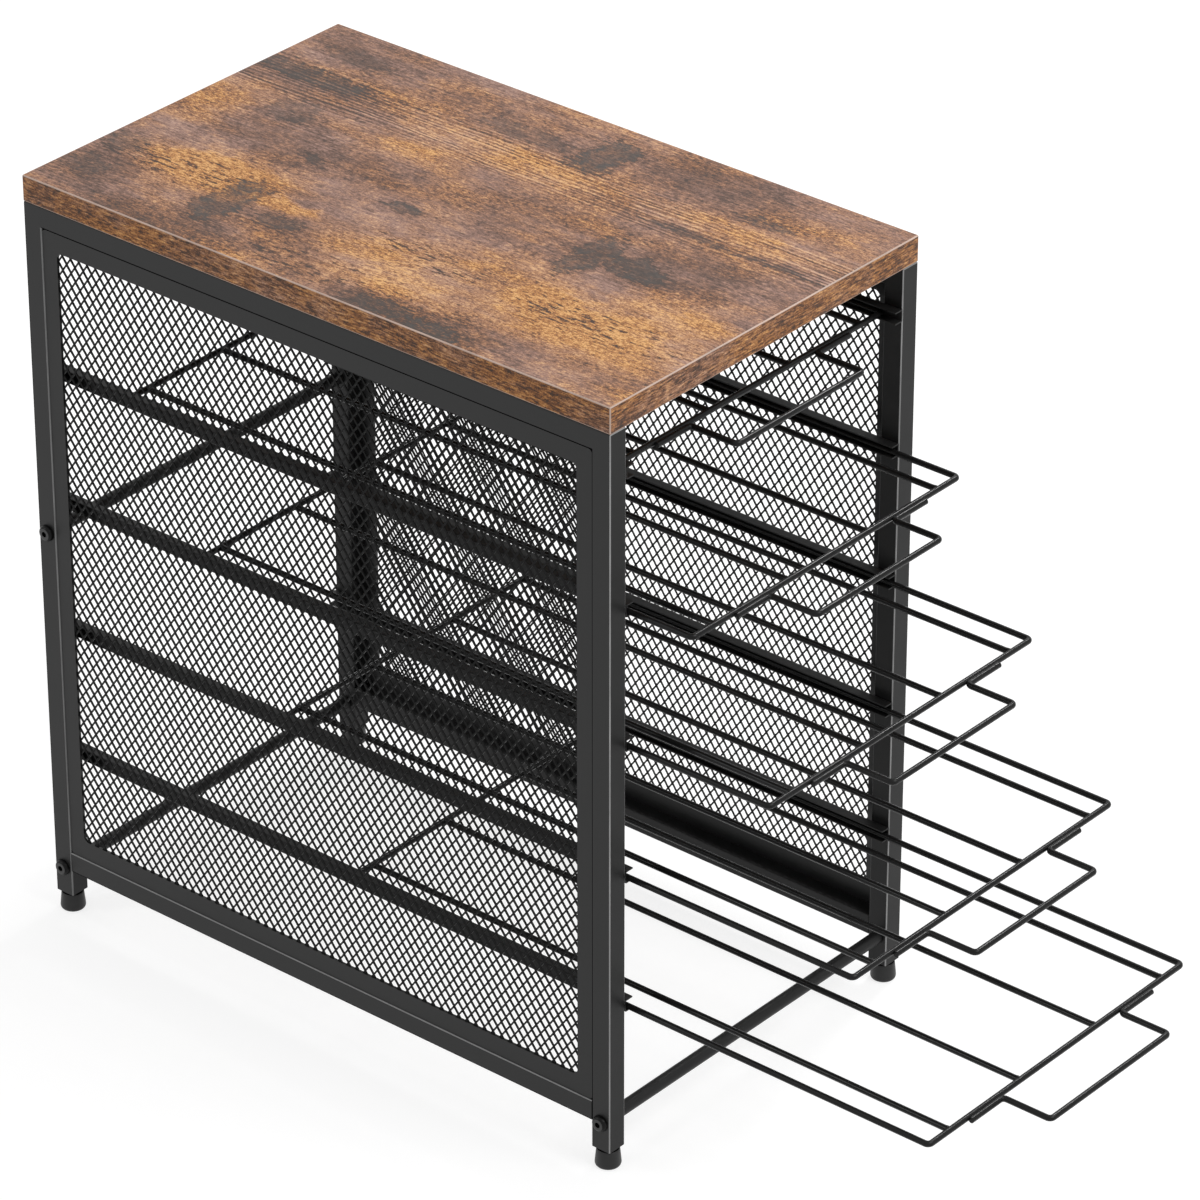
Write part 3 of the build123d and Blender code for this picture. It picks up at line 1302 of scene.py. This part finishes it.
@dataclass
class SideFrame:
    """One side's welded square-tube frame: posts and top rail ground smooth, and a bottom rail."""

    side: Side
    finishes: Finishes
    corner_round: float = 0.7 * MM
    corner_steps: int = 5
    # Only corner strips less flat than line_limit get painted highlight, and slant tells how far a
    # strip must lean for painted highlight or painted shade.
    line_limit: float = 0.97
    slant: float = 0.3

    @property
    def coats(self) -> tuple[Material, ...]:
        """The tube's finishes in the order of TubeLook."""
        look = self.finishes
        return look.coat, look.coat_bright, look.coat_soft, look.coat_seam, look.coat_inner

    def build(self) -> None:
        """Build and place the arch of posts and top rail, then the bottom rail."""
        self.build_arch()
        self.build_rail()

    def build_arch(self) -> None:
        """Build the two posts and the top rail as one piece."""
        word = self.side.word
        nodes = (f"front_{word}_post", f"back_{word}_post", f"{word}_top_rail")
        piece = Piece(f"{word}_tube_arch", "cabinet", Slot.FRAME, nodes, self.coats)
        front_low, front_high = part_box(nodes[0])
        back_low, back_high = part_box(nodes[1])
        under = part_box(nodes[2])[0].z
        outline = (
            (front_low.y, front_low.z),
            (front_low.y, front_high.z),
            (back_high.y, back_high.z),
            (back_high.y, back_low.z),
            (back_low.y, back_low.z),
            (back_low.y, under),
            (front_high.y, under),
            (front_high.y, front_low.z),
        )
        mesh = piece.mesh
        face = mesh.faces.new([mesh.verts.new((front_low.x, y, z)) for y, z in outline])
        made = bmesh.ops.extrude_face_region(mesh, geom=[face])
        across = (front_high.x - front_low.x, 0.0, 0.0)
        bmesh.ops.translate(mesh, verts=new_parts(made, BMVert), vec=across)
        bmesh.ops.recalc_face_normals(mesh, faces=mesh.faces)
        corner = Vector((0.0, back_low.y, under))
        bends = [edge for edge in mesh.edges if not self.stays_sharp(edge, corner, front_low.z)]
        self.round_off(piece, bends)
        piece.place()

    def stays_sharp(self, edge: BMEdge, corner: Vector, foot: float) -> bool:
        """Tell whether an edge is a post's cut end or an inside corner of the arch.

        Args:
            edge: An edge of the arch.
            corner: The inside corners' place, but for the sign of Y.
            foot: The level of the posts' lower ends.

        Returns:
            Whether the edge is left as it is.
        """
        first, second = (vert.co for vert in edge.verts)
        if max(first.z, second.z) < foot + MM:
            return True
        inside = all(
            abs(abs(spot.y) - corner.y) < MM and abs(spot.z - corner.z) < MM
            for spot in (first, second)
        )
        return inside and abs(first.x - second.x) > MM

    def build_rail(self) -> None:
        """Build the bottom rail, which butts against the posts."""
        word = self.side.word
        node = f"{word}_bottom_rail"
        piece = Piece(f"{word}_lower_tube", "cabinet", Slot.FRAME, (node,), self.coats)
        bmesh.ops.create_cube(piece.mesh, size=1.0, matrix=box_matrix(*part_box(node)))
        lengthwise = [edge for edge in piece.mesh.edges if runs_along(edge)]
        self.round_off(piece, lengthwise)
        piece.place()

    def round_off(self, piece: Piece, edges: list[BMEdge]) -> None:
        """Round the tube's corners and give its faces their finishes.

        Args:
            piece: The tube under way.
            edges: The tube's corners.
        """
        bevel(piece.mesh, edges, self.corner_round, self.corner_steps)
        piece.mesh.normal_update()
        for face in piece.mesh.faces:
            face.material_index = self.look(face).value

    def look(self, face: BMFace) -> TubeLook:
        """Choose a face's finish by where it is and which way it looks.

        Args:
            face: A flat side of the tube, or a strip of one of its rounded corners.

        Returns:
            The finish.
        """
        post_low, post_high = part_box(f"front_{self.side.word}_post")
        normal, spot = face.normal, face.calc_center_median()
        outward = normal.x * self.side.value
        slight = self.slant / 3
        if flatness(face) > FLAT:
            # Flat faces turned inwards or to the front get the darker painted-shade copy of the
            # coat.
            inner = outward < -FACING or normal.y < -FACING
            return TubeLook.INNER if inner else TubeLook.COAT
        middle = flatness(face) < self.line_limit
        # The middle strips of the front corners get a bright painted highlight.
        if middle and normal.y < -self.slant and spot.y < post_low.y + self.corner_round:
            return TubeLook.BRIGHT
        # Outer corners leaning to the front or up get a fainter painted highlight on their middle
        # strips; those leaning back or down get near-black painted shade.
        if outward > slight and spot.z < post_high.z - self.corner_round:
            if normal.y < -self.slant or normal.z > self.slant:
                return TubeLook.SOFT if middle else TubeLook.COAT
            if normal.y > slight or normal.z < -slight:
                return TubeLook.SEAM
        return TubeLook.COAT


@dataclass
class MeshPanel:
    """One side's expanded-metal sheet: a net of rhombic gaps inside plain margins."""

    side: Side
    finishes: Finishes
    pitch_y: float = 4.88 * MM
    pitch_z: float = 6.80 * MM
    strand: float = 0.70 * MM
    gap_corner: float = 0.42 * MM
    lean: float = 0.12 * MM
    net_thickness: float = 0.6 * MM
    margin_rise: float = 0.4 * MM
    top_slit: float = 0.25 * MM
    end_margin: float = 8.2 * MM
    edge_margin: float = 9.2 * MM
    cut_row_drop: float = 0.8 * MM
    sheet_corner: float = 2.0 * MM
    field_corner: float = 3.0 * MM
    corner_steps: int = 5
    spare: int = 2
    smooth_degrees: float = 30.0

    def build(self) -> None:
        """Build the net and its margins as one sheet and place it."""
        word = self.side.word
        node = f"{word}_mesh_panel"
        low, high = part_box(node)
        looks = (self.finishes.mesh, self.finishes.coat, self.finishes.coat_seam)
        piece = Piece(f"{word}_expanded_net", "cabinet", Slot.MESH, (node,), looks)
        self.net(piece.mesh, low, high)
        self.margins(piece.mesh, low, high)
        piece.place(self.smooth_degrees)

    def net(self, mesh: BMesh, low: Vector, high: Vector) -> None:
        """Repeat one gap over the sheet, cut the net to its field and give it its thickness.

        Args:
            mesh: The sheet under way.
            low: The sheet's lowest corner.
            high: The sheet's highest corner.
        """
        middle = (low.x + high.x) / 2
        field_low = Vector((middle, low.y + self.end_margin, low.z + self.edge_margin))
        field_high = Vector((middle, high.y - self.end_margin, high.z - self.edge_margin))
        self.gap(mesh)
        columns = math.ceil((field_high.y - field_low.y) / self.pitch_y) + self.spare
        rows = math.ceil((field_high.z - field_low.z) / self.pitch_z) + self.spare
        self.repeat(mesh, Vector((0.0, -self.pitch_y, 0.0)), columns)
        self.repeat(mesh, Vector((0.0, 0.0, -self.pitch_z)), rows)
        self.repeat(mesh, Vector((0.0, self.pitch_y / 2, self.pitch_z / 2)), 2)
        start = (middle, field_high.y, field_high.z - self.cut_row_drop)
        bmesh.ops.translate(mesh, verts=mesh.verts, vec=start)
        bmesh.ops.remove_doubles(mesh, verts=mesh.verts, dist=NEAR)
        for place, normal in (
            (field_low, (0, -1, 0)),
            (field_low, (0, 0, -1)),
            (field_high, (0, 1, 0)),
            (field_high, (0, 0, 1)),
        ):
            bmesh.ops.bisect_plane(
                mesh,
                geom=[*mesh.verts, *mesh.edges, *mesh.faces],
                dist=MEET,
                plane_co=place,
                plane_no=normal,
                clear_outer=True,
            )
        shift = (self.side.value * self.net_thickness / 2, 0.0, 0.0)
        bmesh.ops.translate(mesh, verts=mesh.verts, vec=shift)
        thicken(mesh, list(mesh.faces), self.outward, self.net_thickness)

    def gap(self, mesh: BMesh) -> None:
        """Make the strands round one gap, with blunt upper and lower corners and leaning knots.

        Args:
            mesh: The empty mesh that it goes into.
        """
        upright = Matrix.Rotation(QUARTER_TURN, 4, "Y")
        bmesh.ops.create_circle(mesh, cap_ends=True, segments=4, radius=1.0, matrix=upright)
        bmesh.ops.scale(mesh, verts=mesh.verts, vec=(1.0, self.pitch_y / 2, self.pitch_z / 2))
        corners = set(mesh.verts)
        opening = list(mesh.faces)
        bmesh.ops.inset_individual(
            mesh, faces=opening, thickness=self.strand / 2, use_even_offset=True
        )
        tips = [vert for vert in opening[0].verts if abs(vert.co.y) < self.strand / 10]
        bmesh.ops.delete(mesh, geom=opening, context="FACES_ONLY")
        for tip in tips:
            spoke = next(edge for edge in tip.link_edges if corners.intersection(edge.verts))
            knot = spoke.other_vert(tip)
            bevel(mesh, [tip], self.gap_corner, 1, Bevel.CORNERS)
            stray = [edge.other_vert(knot) for edge in knot.link_edges]
            stray = [vert for vert in stray if abs(vert.co.y) < self.strand / 100]
            bmesh.ops.pointmerge(mesh, verts=[knot, *stray], merge_co=knot.co)
        for vert in mesh.verts:
            if vert not in corners and abs(vert.co.z) > self.strand:
                vert.co.x += math.copysign(self.lean, vert.co.z) * self.side.value

    def repeat(self, mesh: BMesh, step: Vector, count: int) -> None:
        """Copy all that the mesh holds in a row.

        Args:
            mesh: The mesh.
            step: From one copy to the next.
            count: How many there are in the end.
        """
        first = [*mesh.verts, *mesh.edges, *mesh.faces]
        for number in range(1, count):
            made = bmesh.ops.duplicate(mesh, geom=first)
            bmesh.ops.translate(mesh, verts=new_parts(made, BMVert), vec=step * number)

    def margins(self, mesh: BMesh, low: Vector, high: Vector) -> None:
        """Add the plain margins round the net.

        Args:
            mesh: The sheet under way.
            low: The sheet's lowest corner.
            high: The sheet's highest corner.
        """
        before = set(mesh.faces)
        margin = Vector((0.0, self.end_margin, self.edge_margin))
        slit = Vector((0.0, 0.0, self.top_slit))
        outline = self.outline(mesh, low, high - slit, self.sheet_corner)
        opening = self.outline(mesh, low + margin, high - margin, self.field_corner)
        bmesh.ops.bridge_loops(mesh, edges=outline + opening)
        ring = [face for face in mesh.faces if face not in before]
        thicken(mesh, ring, self.outward, high.x - low.x + self.margin_rise)
        mesh.normal_update()
        for face in mesh.faces:
            look = PanelLook.NET
            if face not in before:
                # The sheet's top edge, under the rail, gets near-black painted shade.
                upward = face.normal.z > FACING and face.calc_center_median().z > high.z - MM
                look = PanelLook.SEAM if upward else PanelLook.MARGIN
            face.material_index = look.value

    def outline(self, mesh: BMesh, low: Vector, high: Vector, corner: float) -> list[BMEdge]:
        """Draw an upright rectangle with rounded corners in the sheet's outer plane.

        Args:
            mesh: The sheet under way.
            low: The rectangle's lowest corner.
            high: The rectangle's highest corner.
            corner: The radius of the corners.

        Returns:
            The rectangle's edges.
        """
        before = set(mesh.faces)
        right = self.side is Side.RIGHT
        outer = high.x + self.margin_rise if right else low.x - self.margin_rise
        size = high - low
        middle = Vector((outer, low.y + size.y / 2, low.z + size.z / 2))
        flat = Matrix.LocRotScale(middle, None, (1.0, size.y, size.z))
        flat = flat @ Matrix.Rotation(QUARTER_TURN, 4, "Y")
        made = bmesh.ops.create_grid(mesh, x_segments=1, y_segments=1, size=0.5, matrix=flat)
        bevel(mesh, made["verts"], corner, self.corner_steps, Bevel.CORNERS)
        plate = [face for face in mesh.faces if face not in before]
        edges = list({edge for face in plate for edge in face.edges})
        bmesh.ops.delete(mesh, geom=plate, context="FACES_ONLY")
        return edges

    def outward(self, face: BMFace) -> float:
        """Tell how far a face looks out of the cabinet."""
        return face.normal.x * self.side.value


@dataclass
class Runners:
    """The C-shaped drawer runners of one side."""

    side: Side
    finishes: Finishes
    sheet: float = 0.6 * MM
    bend_round: float = 0.8 * MM
    bend_steps: int = 4
    outer_limit: float = 0.3

    def build(self) -> None:
        """Build and place every runner of the side."""
        for number in range(1, DRAWERS + 1):
            self.build_one(number)

    def build_one(self, number: int) -> None:
        """Fold one channel out of sheet.

        Args:
            number: The runner's place from the top.
        """
        node = f"{self.side.word}_runner_{number}"
        # The channel's inside gets the darker painted-shade copy of the coat.
        coats = (self.finishes.coat_inner, self.finishes.coat)
        piece = Piece(f"{self.side.word}_channel_{number}", "cabinet", Slot.FRAME, (node,), coats)
        mesh = piece.mesh
        low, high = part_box(node)
        web, lip = (high.x, low.x) if self.side is Side.RIGHT else (low.x, high.x)
        section = ((lip, low.z), (web, low.z), (web, high.z), (lip, high.z))
        line = [mesh.verts.new((x, low.y, z)) for x, z in section]
        edges = [mesh.edges.new(pair) for pair in zip(line, line[1:])]
        made = bmesh.ops.extrude_edge_only(mesh, edges=edges)
        bmesh.ops.translate(mesh, verts=new_parts(made, BMVert), vec=(0.0, high.y - low.y, 0.0))
        folds = [
            edge
            for edge in mesh.edges
            if runs_along(edge)
            and all(abs(vert.co.x - web) < self.sheet / 2 for vert in edge.verts)
        ]
        bevel(mesh, folds, self.bend_round, self.bend_steps)
        middle = Vector((lip, 0.0, (low.z + high.z) / 2))

        def outward(face: BMFace) -> float:
            """Tell how far a face looks away from the channel's middle line."""
            away = face.calc_center_median() - middle
            return face.normal.dot(Vector((away.x, 0.0, away.z)))

        thicken(mesh, list(mesh.faces), outward, self.sheet)
        mesh.normal_update()
        for face in mesh.faces:
            outer = face.normal.x * self.side.value > self.outer_limit
            face.material_index = (RunnerLook.OUTER if outer else RunnerLook.INNER).value
        piece.place()


@dataclass
class Crossbars:
    """The round bars that tie the two side frames together."""

    finishes: Finishes
    sides: int = 40
    chamfer: float = 0.3 * MM
    chamfer_share: float = 0.9

    def build(self) -> None:
        """Build and place each bar."""
        # The bars get the darker painted-shade copy of the coat.
        looks = (self.finishes.coat_inner,)
        for place in Bar:
            node = f"{place.word}_crossbar"
            low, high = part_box(node)
            piece = Piece(f"{place.word}_round_bar", "cabinet", Slot.FRAME, (node,), looks)
            radius = (high.z - low.z) / 2
            bar = WireRun(piece.mesh, radius * self.chamfer_share, sides=self.sides)
            bar.start(Vector((low.x, (low.y + high.y) / 2, (low.z + high.z) / 2)), 0.0, closed=True)
            bar.run(self.chamfer, swell=1.0 / self.chamfer_share)
            bar.run(high.x - low.x - 2 * self.chamfer)
            bar.run(self.chamfer, swell=self.chamfer_share)
            bar.fill()
            bar.tidy()
            piece.place()


@dataclass
class FrameBolts:
    """The button-head bolts through the posts into the crossbars."""

    finishes: Finishes
    steps: int = 36
    socket_apothem: float = 1.25 * MM
    socket_depth: float = 1.3 * MM
    crown_level: float = 2.1 * MM
    smooth_degrees: float = 32.0
    profile: Profile = (
        (0.0, 0.0),
        (3.80, 0.0),
        (3.80, 0.55),
        (3.74, 0.95),
        (3.58, 1.36),
        (3.34, 1.72),
        (3.04, 1.99),
        (2.72, 2.14),
        (2.40, 2.20),
        (1.75, 2.20),
    )

    def build(self) -> None:
        """Build and place all bolts as one piece."""
        looks = (self.finishes.bolt, self.finishes.bolt_flank)
        piece = Piece("button_head_bolts", "cabinet", Slot.BOLT, ("frame_bolts",), looks)
        for place in Bar:
            low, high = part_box(f"{place.word}_crossbar")
            for side in Side:
                post_low, post_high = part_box(f"{place.end.word}_{side.word}_post")
                seat = post_high.x if side is Side.RIGHT else post_low.x
                spot = Vector((seat, (low.y + high.y) / 2, (low.z + high.z) / 2))
                turn = Matrix.Rotation(side.value * QUARTER_TURN, 4, "Y")
                self.head(piece.mesh, Matrix.Translation(spot) @ turn)
        bmesh.ops.recalc_face_normals(piece.mesh, faces=piece.mesh.faces)
        piece.place(self.smooth_degrees)

    def head(self, mesh: BMesh, matrix: Matrix) -> None:
        """Turn one head and sink its six-sided socket.

        Args:
            mesh: The mesh that it is added to.
            matrix: Where the head's upright axis goes.
        """
        made = set(lathe(mesh, self.profile, self.steps, Matrix.Identity(4)))
        rim = rim_edges(mesh, made, self.profile[-1][0] * MM)
        mouth, rim = draw_ring(mesh, rim)
        sixth = math.tau / 6
        for vert in mouth:
            angle = math.atan2(vert.co.y, vert.co.x)
            reach = self.socket_apothem / math.cos(angle % sixth - sixth / 2)
            vert.co.xy = vert.co.xy.normalized() * reach
        bottom, rim = draw_ring(mesh, rim)
        bmesh.ops.translate(mesh, verts=bottom, vec=(0.0, 0.0, -self.socket_depth))
        bmesh.ops.edgeloop_fill(mesh, edges=rim)
        made.update(mouth, bottom)
        # Faces below the crown level, the dome's sides and the socket, get near-black painted
        # shade.
        for face in {face for vert in made for face in vert.link_faces}:
            crown = face.calc_center_median().z > self.crown_level
            face.material_index = (BoltLook.CROWN if crown else BoltLook.FLANK).value
        bmesh.ops.transform(mesh, matrix=matrix, verts=list(made))


@dataclass
class BoardScrews:
    """The pan-head screws under the top rails."""

    finishes: Finishes
    steps: int = 24
    slot_half: float = 0.42 * MM
    slot_reach: float = 1.35 * MM
    slot_depth: float = 0.9 * MM
    half_spacing: float = 100.0 * MM
    smooth_degrees: float = 32.0
    profile: Profile = (
        (0.0, 0.0),
        (2.80, 0.0),
        (2.80, 0.70),
        (2.68, 1.15),
        (2.40, 1.58),
        (2.05, 1.84),
        (1.70, 1.94),
    )

    def build(self) -> None:
        """Build and place all screws as one piece."""
        looks = (self.finishes.zinc,)
        piece = Piece("pan_head_screws", "cabinet", Slot.SCREW, ("board_screws",), looks)
        for side in Side:
            low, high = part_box(f"{side.word}_top_rail")
            for end in End:
                spot = Vector(((low.x + high.x) / 2, end.value * self.half_spacing, low.z))
                self.head(piece.mesh, Matrix.Translation(spot) @ Matrix.Rotation(math.pi, 4, "X"))
        bmesh.ops.recalc_face_normals(piece.mesh, faces=piece.mesh.faces)
        piece.place(self.smooth_degrees)

    def head(self, mesh: BMesh, matrix: Matrix) -> None:
        """Turn one head and sink its cross slot.

        Args:
            mesh: The mesh that it is added to.
            matrix: Where the head's upright axis goes.
        """
        made = set(lathe(mesh, self.profile, self.steps, Matrix.Identity(4)))
        rim_radius, top = (part * MM for part in self.profile[-1])
        rim = rim_edges(mesh, made, rim_radius)
        before = set(mesh.faces)
        grid = bmesh.ops.create_grid(mesh, x_segments=3, y_segments=3, size=self.slot_reach)
        for vert in grid["verts"]:
            for axis in (Axis.X.value, Axis.Y.value):
                if abs(vert.co[axis]) < self.slot_reach / 2:
                    vert.co[axis] = math.copysign(self.slot_half, vert.co[axis])
            vert.co.z = top
        made.update(grid["verts"])
        plate = [face for face in mesh.faces if face not in before]
        border = [edge for face in plate for edge in face.edges if len(edge.link_faces) == 1]
        bmesh.ops.bridge_loops(mesh, edges=rim + border)
        arms = [
            face
            for face in plate
            if min(abs(part) for part in face.calc_center_median().xy) < self.slot_half
        ]
        sunk = bmesh.ops.extrude_face_region(mesh, geom=arms)
        verts = new_parts(sunk, BMVert)
        bmesh.ops.translate(mesh, verts=verts, vec=(0.0, 0.0, -self.slot_depth))
        bmesh.ops.delete(mesh, geom=[face for face in arms if face.is_valid], context="FACES")
        made.update(verts)
        bmesh.ops.transform(mesh, matrix=matrix, verts=list(made))


@dataclass
class PlugFeet:
    """The tapered plug feet under the posts."""

    finishes: Finishes
    steps: int = 48
    shaded_neck_level: float = 8.85 * MM
    smooth_degrees: float = 50.0
    profile: Profile = (
        (0.0, 0.35),
        (3.2, 0.35),
        (3.6, 0.0),
        (4.20, 0.0),
        (4.75, 0.10),
        (5.22, 0.38),
        (5.55, 0.80),
        (5.74, 1.32),
        (5.78, 1.95),
        (5.16, 8.20),
        (5.08, 8.58),
        (4.86, 8.82),
        (4.45, 8.90),
        (4.30, 8.90),
        (4.30, 9.90),
        (0.0, 9.90),
    )

    def build(self) -> None:
        """Build and place each foot."""
        looks = (self.finishes.plug, self.finishes.coat_seam)
        for end in End:
            for side in Side:
                corner = f"{end.word}_{side.word}"
                post_low, post_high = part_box(f"{corner}_post")
                middle = (post_low + post_high) / 2
                piece = Piece(f"{corner}_plug", "cabinet", Slot.FOOT, (f"{corner}_foot",), looks)
                below = Matrix.Translation((middle.x, middle.y, 0.0))
                lathe(piece.mesh, self.profile, self.steps, below)
                bmesh.ops.recalc_face_normals(piece.mesh, faces=piece.mesh.faces)
                # The neck and the rim's top under the post get near-black painted shade.
                for face in piece.mesh.faces:
                    neck = face.calc_center_median().z > self.shaded_neck_level
                    face.material_index = (FootLook.SHADED_NECK if neck else FootLook.PLUG).value
                piece.place(self.smooth_degrees)


@dataclass
class WireDrawer:
    """One drawer of bent and welded wire."""

    number: int
    finishes: Finishes
    rods: int = 4
    handle_arm: float = 41.0 * MM
    coat: float = 0.18 * MM
    weld_reach: float = 0.8 * MM
    weld_swell: float = 1.12

    @property
    def body(self) -> str:
        """The body that the drawer's pieces ride on."""
        return f"drawer_{self.number}"

    def piece(self, name: str, node: str) -> Piece:
        """Start one of the drawer's pieces.

        Args:
            name: The piece's name after the drawer's.
            node: The CAD node's name after the drawer's.

        Returns:
            The piece under way.
        """
        nodes = (f"{self.body}_{node}",)
        return Piece(f"{self.body}_{name}", self.body, Slot.WIRE, nodes, (self.finishes.wire,))

    def build(self) -> None:
        """Build and place the frame, the rods and the handle."""
        self.build_frame()
        for number in range(1, self.rods + 1):
            self.build_rod(number)
        self.build_handle()

    def build_frame(self) -> None:
        """Bend the closed outer wire."""
        low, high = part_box(f"{self.body}_frame")
        piece = self.piece("wire_loop", "frame")
        radius = (high.z - low.z) / 2
        wire = WireRun(piece.mesh, radius + self.coat)
        width = high.x - low.x - 2 * radius
        depth = high.y - low.y - 2 * radius
        straight_x = width - 2 * wire.bend_radius
        straight_y = depth - 2 * wire.bend_radius
        wire.start(Vector(((low.x + high.x) / 2, low.y + radius, low.z + radius)), 0.0)
        wire.run(straight_x / 2)
        for length in (straight_y, straight_x, straight_y):
            wire.bend(90.0)
            wire.run(length)
        wire.bend(90.0)
        wire.run(straight_x / 2)
        wire.tidy()
        piece.place()

    def build_rod(self, number: int) -> None:
        """Draw one lengthwise rod, with a weld at each end that swells into the outer wire.

        Args:
            number: The rod's place from the left.
        """
        low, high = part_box(f"{self.body}_rod_{number}")
        piece = self.piece(f"wire_rod_{number}", f"rod_{number}")
        radius = (high.z - low.z) / 2
        wire = WireRun(piece.mesh, radius + self.coat)
        start = Vector(((low.x + high.x) / 2, low.y - radius, low.z + radius))
        wire.start(start, 90.0, closed=True)
        weld = (self.weld_swell, 1.0, 1.0 / self.weld_swell)
        for swell in weld:
            wire.run(self.weld_reach, swell)
        wire.run(high.y - low.y + 2 * radius - 2 * len(weld) * self.weld_reach)
        for swell in weld:
            wire.run(self.weld_reach, swell)
        wire.fill()
        wire.tidy()
        piece.place()

    def build_handle(self) -> None:
        """Bend the handle, with its two feet along the front wire."""
        low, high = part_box(f"{self.body}_handle")
        piece = self.piece("wire_handle", "handle")
        radius = (high.z - low.z) / 2
        wire = WireRun(piece.mesh, radius + self.coat)
        bend = wire.bend_radius
        foot = (high.x - low.x) / 2 - self.handle_arm - bend
        arm = high.y - low.y - 2 * radius - 2 * bend
        wire.start(Vector((low.x, high.y - radius, low.z + radius)), 0.0, closed=True)
        wire.run(foot)
        wire.bend(-90.0)
        wire.run(arm)
        wire.bend(90.0)
        wire.run(2 * (self.handle_arm - bend))
        wire.bend(90.0)
        wire.run(arm)
        wire.bend(-90.0)
        wire.run(foot)
        wire.fill()
        wire.tidy()
        piece.place()


@dataclass(frozen=True)
class Lamp:
    """A square soft lamp that looks at a point of the object."""

    name: str
    place: tuple[float, float, float]
    size: float
    watts: float
    aim: tuple[float, float, float] = (0.0, -0.05, 0.18)

    def build(self) -> None:
        """Hang the lamp."""
        light = bpy.data.lights.new(self.name, "AREA")
        light.shape = "SQUARE"
        light.size = self.size
        light.energy = self.watts
        hung = bpy.data.objects.new(self.name, light)
        hung.location = self.place
        sight = Vector(self.aim) - Vector(self.place)
        hung.rotation_euler = sight.to_track_quat("-Z", "Y").to_euler()
        bpy.context.scene.collection.objects.link(hung)


@dataclass
class Studio:
    """The pale floor, the soft light and the camera."""

    floor_half: float = 12.0
    floor_tone: float = 0.86
    shown_tone: float = 0.35
    floor_lift: float = 0.77
    floor_roughness: float = 0.9
    sky_level: float = 0.45
    camera_place: tuple[float, float, float] = (-1.833, -1.617, 1.577)
    camera_tilt: float = 60.18
    camera_turn: float = -49.90
    lens: float = 194.2
    sensor: float = 36.0
    camera_reach: float = 100.0
    lamps: tuple[Lamp, ...] = (
        Lamp("key", (0.24, -1.60, 1.95), 1.2, 25.0),
        Lamp("side_strip", (1.46, 0.09, 1.83), 0.35, 17.0),
        Lamp("back_glint", (-1.60, 1.30, 1.40), 0.25, 6.0),
    )

    def build(self) -> None:
        """Set up the floor, the sky, the lamps and the camera."""
        self.build_floor()
        self.build_sky()
        for lamp in self.lamps:
            lamp.build()
        self.build_camera()
        bpy.context.scene.view_settings.view_transform = "Standard"

    def seen(self, tree: bpy.types.NodeTree) -> NodeSocket:
        """Tell rays that show the background from rays that light the object.

        Args:
            tree: The node tree to work in.

        Returns:
            One for camera, glossy and transmission rays, else zero.
        """
        path = tree.nodes.new("ShaderNodeLightPath")
        found = path.outputs["Is Camera Ray"]
        for name in ("Is Glossy Ray", "Is Transmission Ray"):
            either = tree.nodes.new("ShaderNodeMath")
            either.operation = "MAXIMUM"
            tree.links.new(found, either.inputs[0])
            tree.links.new(path.outputs[name], either.inputs[1])
            found = either.outputs[0]
        return found

    def build_floor(self) -> None:
        """Lay the floor, which keeps the object's shadow and goes white away from it."""
        mesh = bmesh.new()
        bmesh.ops.create_grid(mesh, x_segments=1, y_segments=1, size=self.floor_half)
        data = bpy.data.meshes.new("floor")
        mesh.to_mesh(data)
        mesh.free()
        floor = bpy.data.objects.new("floor", data)
        bpy.context.scene.collection.objects.link(floor)
        desk = NodeDesk("pale_floor")
        desk.surface(Roughness=self.floor_roughness, Specular_IOR_Level=0.0)
        desk.shader.inputs["Emission Color"].default_value = WHITE
        seen = self.seen(desk.tree)
        tones = [(*grey(tone), 1.0) for tone in (self.floor_tone, self.shown_tone)]
        desk.feed(desk.shader.inputs["Base Color"], desk.mix(seen, *tones))
        lift = desk.math("MULTIPLY", seen, self.floor_lift)
        desk.feed(desk.shader.inputs["Emission Strength"], lift)
        data.materials.append(desk.material)

    def build_sky(self) -> None:
        """Make the sky white to the eye and in reflections, and soft as a light."""
        world = bpy.data.worlds.new("studio_sky")
        bpy.context.scene.world = world
        world.use_nodes = True
        tree = world.node_tree
        strength = tree.nodes.new("ShaderNodeMapRange")
        tree.links.new(self.seen(tree), strength.inputs["Value"])
        strength.inputs["To Min"].default_value = self.sky_level
        strength.inputs["To Max"].default_value = 1.0
        sky = tree.nodes["Background"]
        sky.inputs["Color"].default_value = WHITE
        tree.links.new(strength.outputs[0], sky.inputs["Strength"])

    def build_camera(self) -> None:
        """Put the camera at the viewing angle, with a long lens."""
        data = bpy.data.cameras.new("camera")
        data.lens = self.lens
        data.sensor_width = self.sensor
        data.clip_end = self.camera_reach
        camera = bpy.data.objects.new("camera", data)
        camera.location = self.camera_place
        tilt, turn = math.radians(self.camera_tilt), math.radians(self.camera_turn)
        camera.rotation_euler = (tilt, 0.0, turn)
        bpy.context.scene.collection.objects.link(camera)
        bpy.context.scene.camera = camera


def main() -> None:
    """Build every sub-assembly in order, then the studio."""
    logging.basicConfig(level=logging.INFO, format="%(message)s")
    finishes = Finishes()
    assemblies = [
        TopBoard(finishes),
        *(SideFrame(side, finishes) for side in Side),
        *(MeshPanel(side, finishes) for side in Side),
        *(Runners(side, finishes) for side in Side),
        Crossbars(finishes),
        FrameBolts(finishes),
        BoardScrews(finishes),
        PlugFeet(finishes),
        *(WireDrawer(number, finishes) for number in range(1, DRAWERS + 1)),
        Studio(),
    ]
    for assembly in assemblies:
        assembly.build()
        LOG.info("built %s", type(assembly).__name__)


if __name__ == "__main__":
    main()
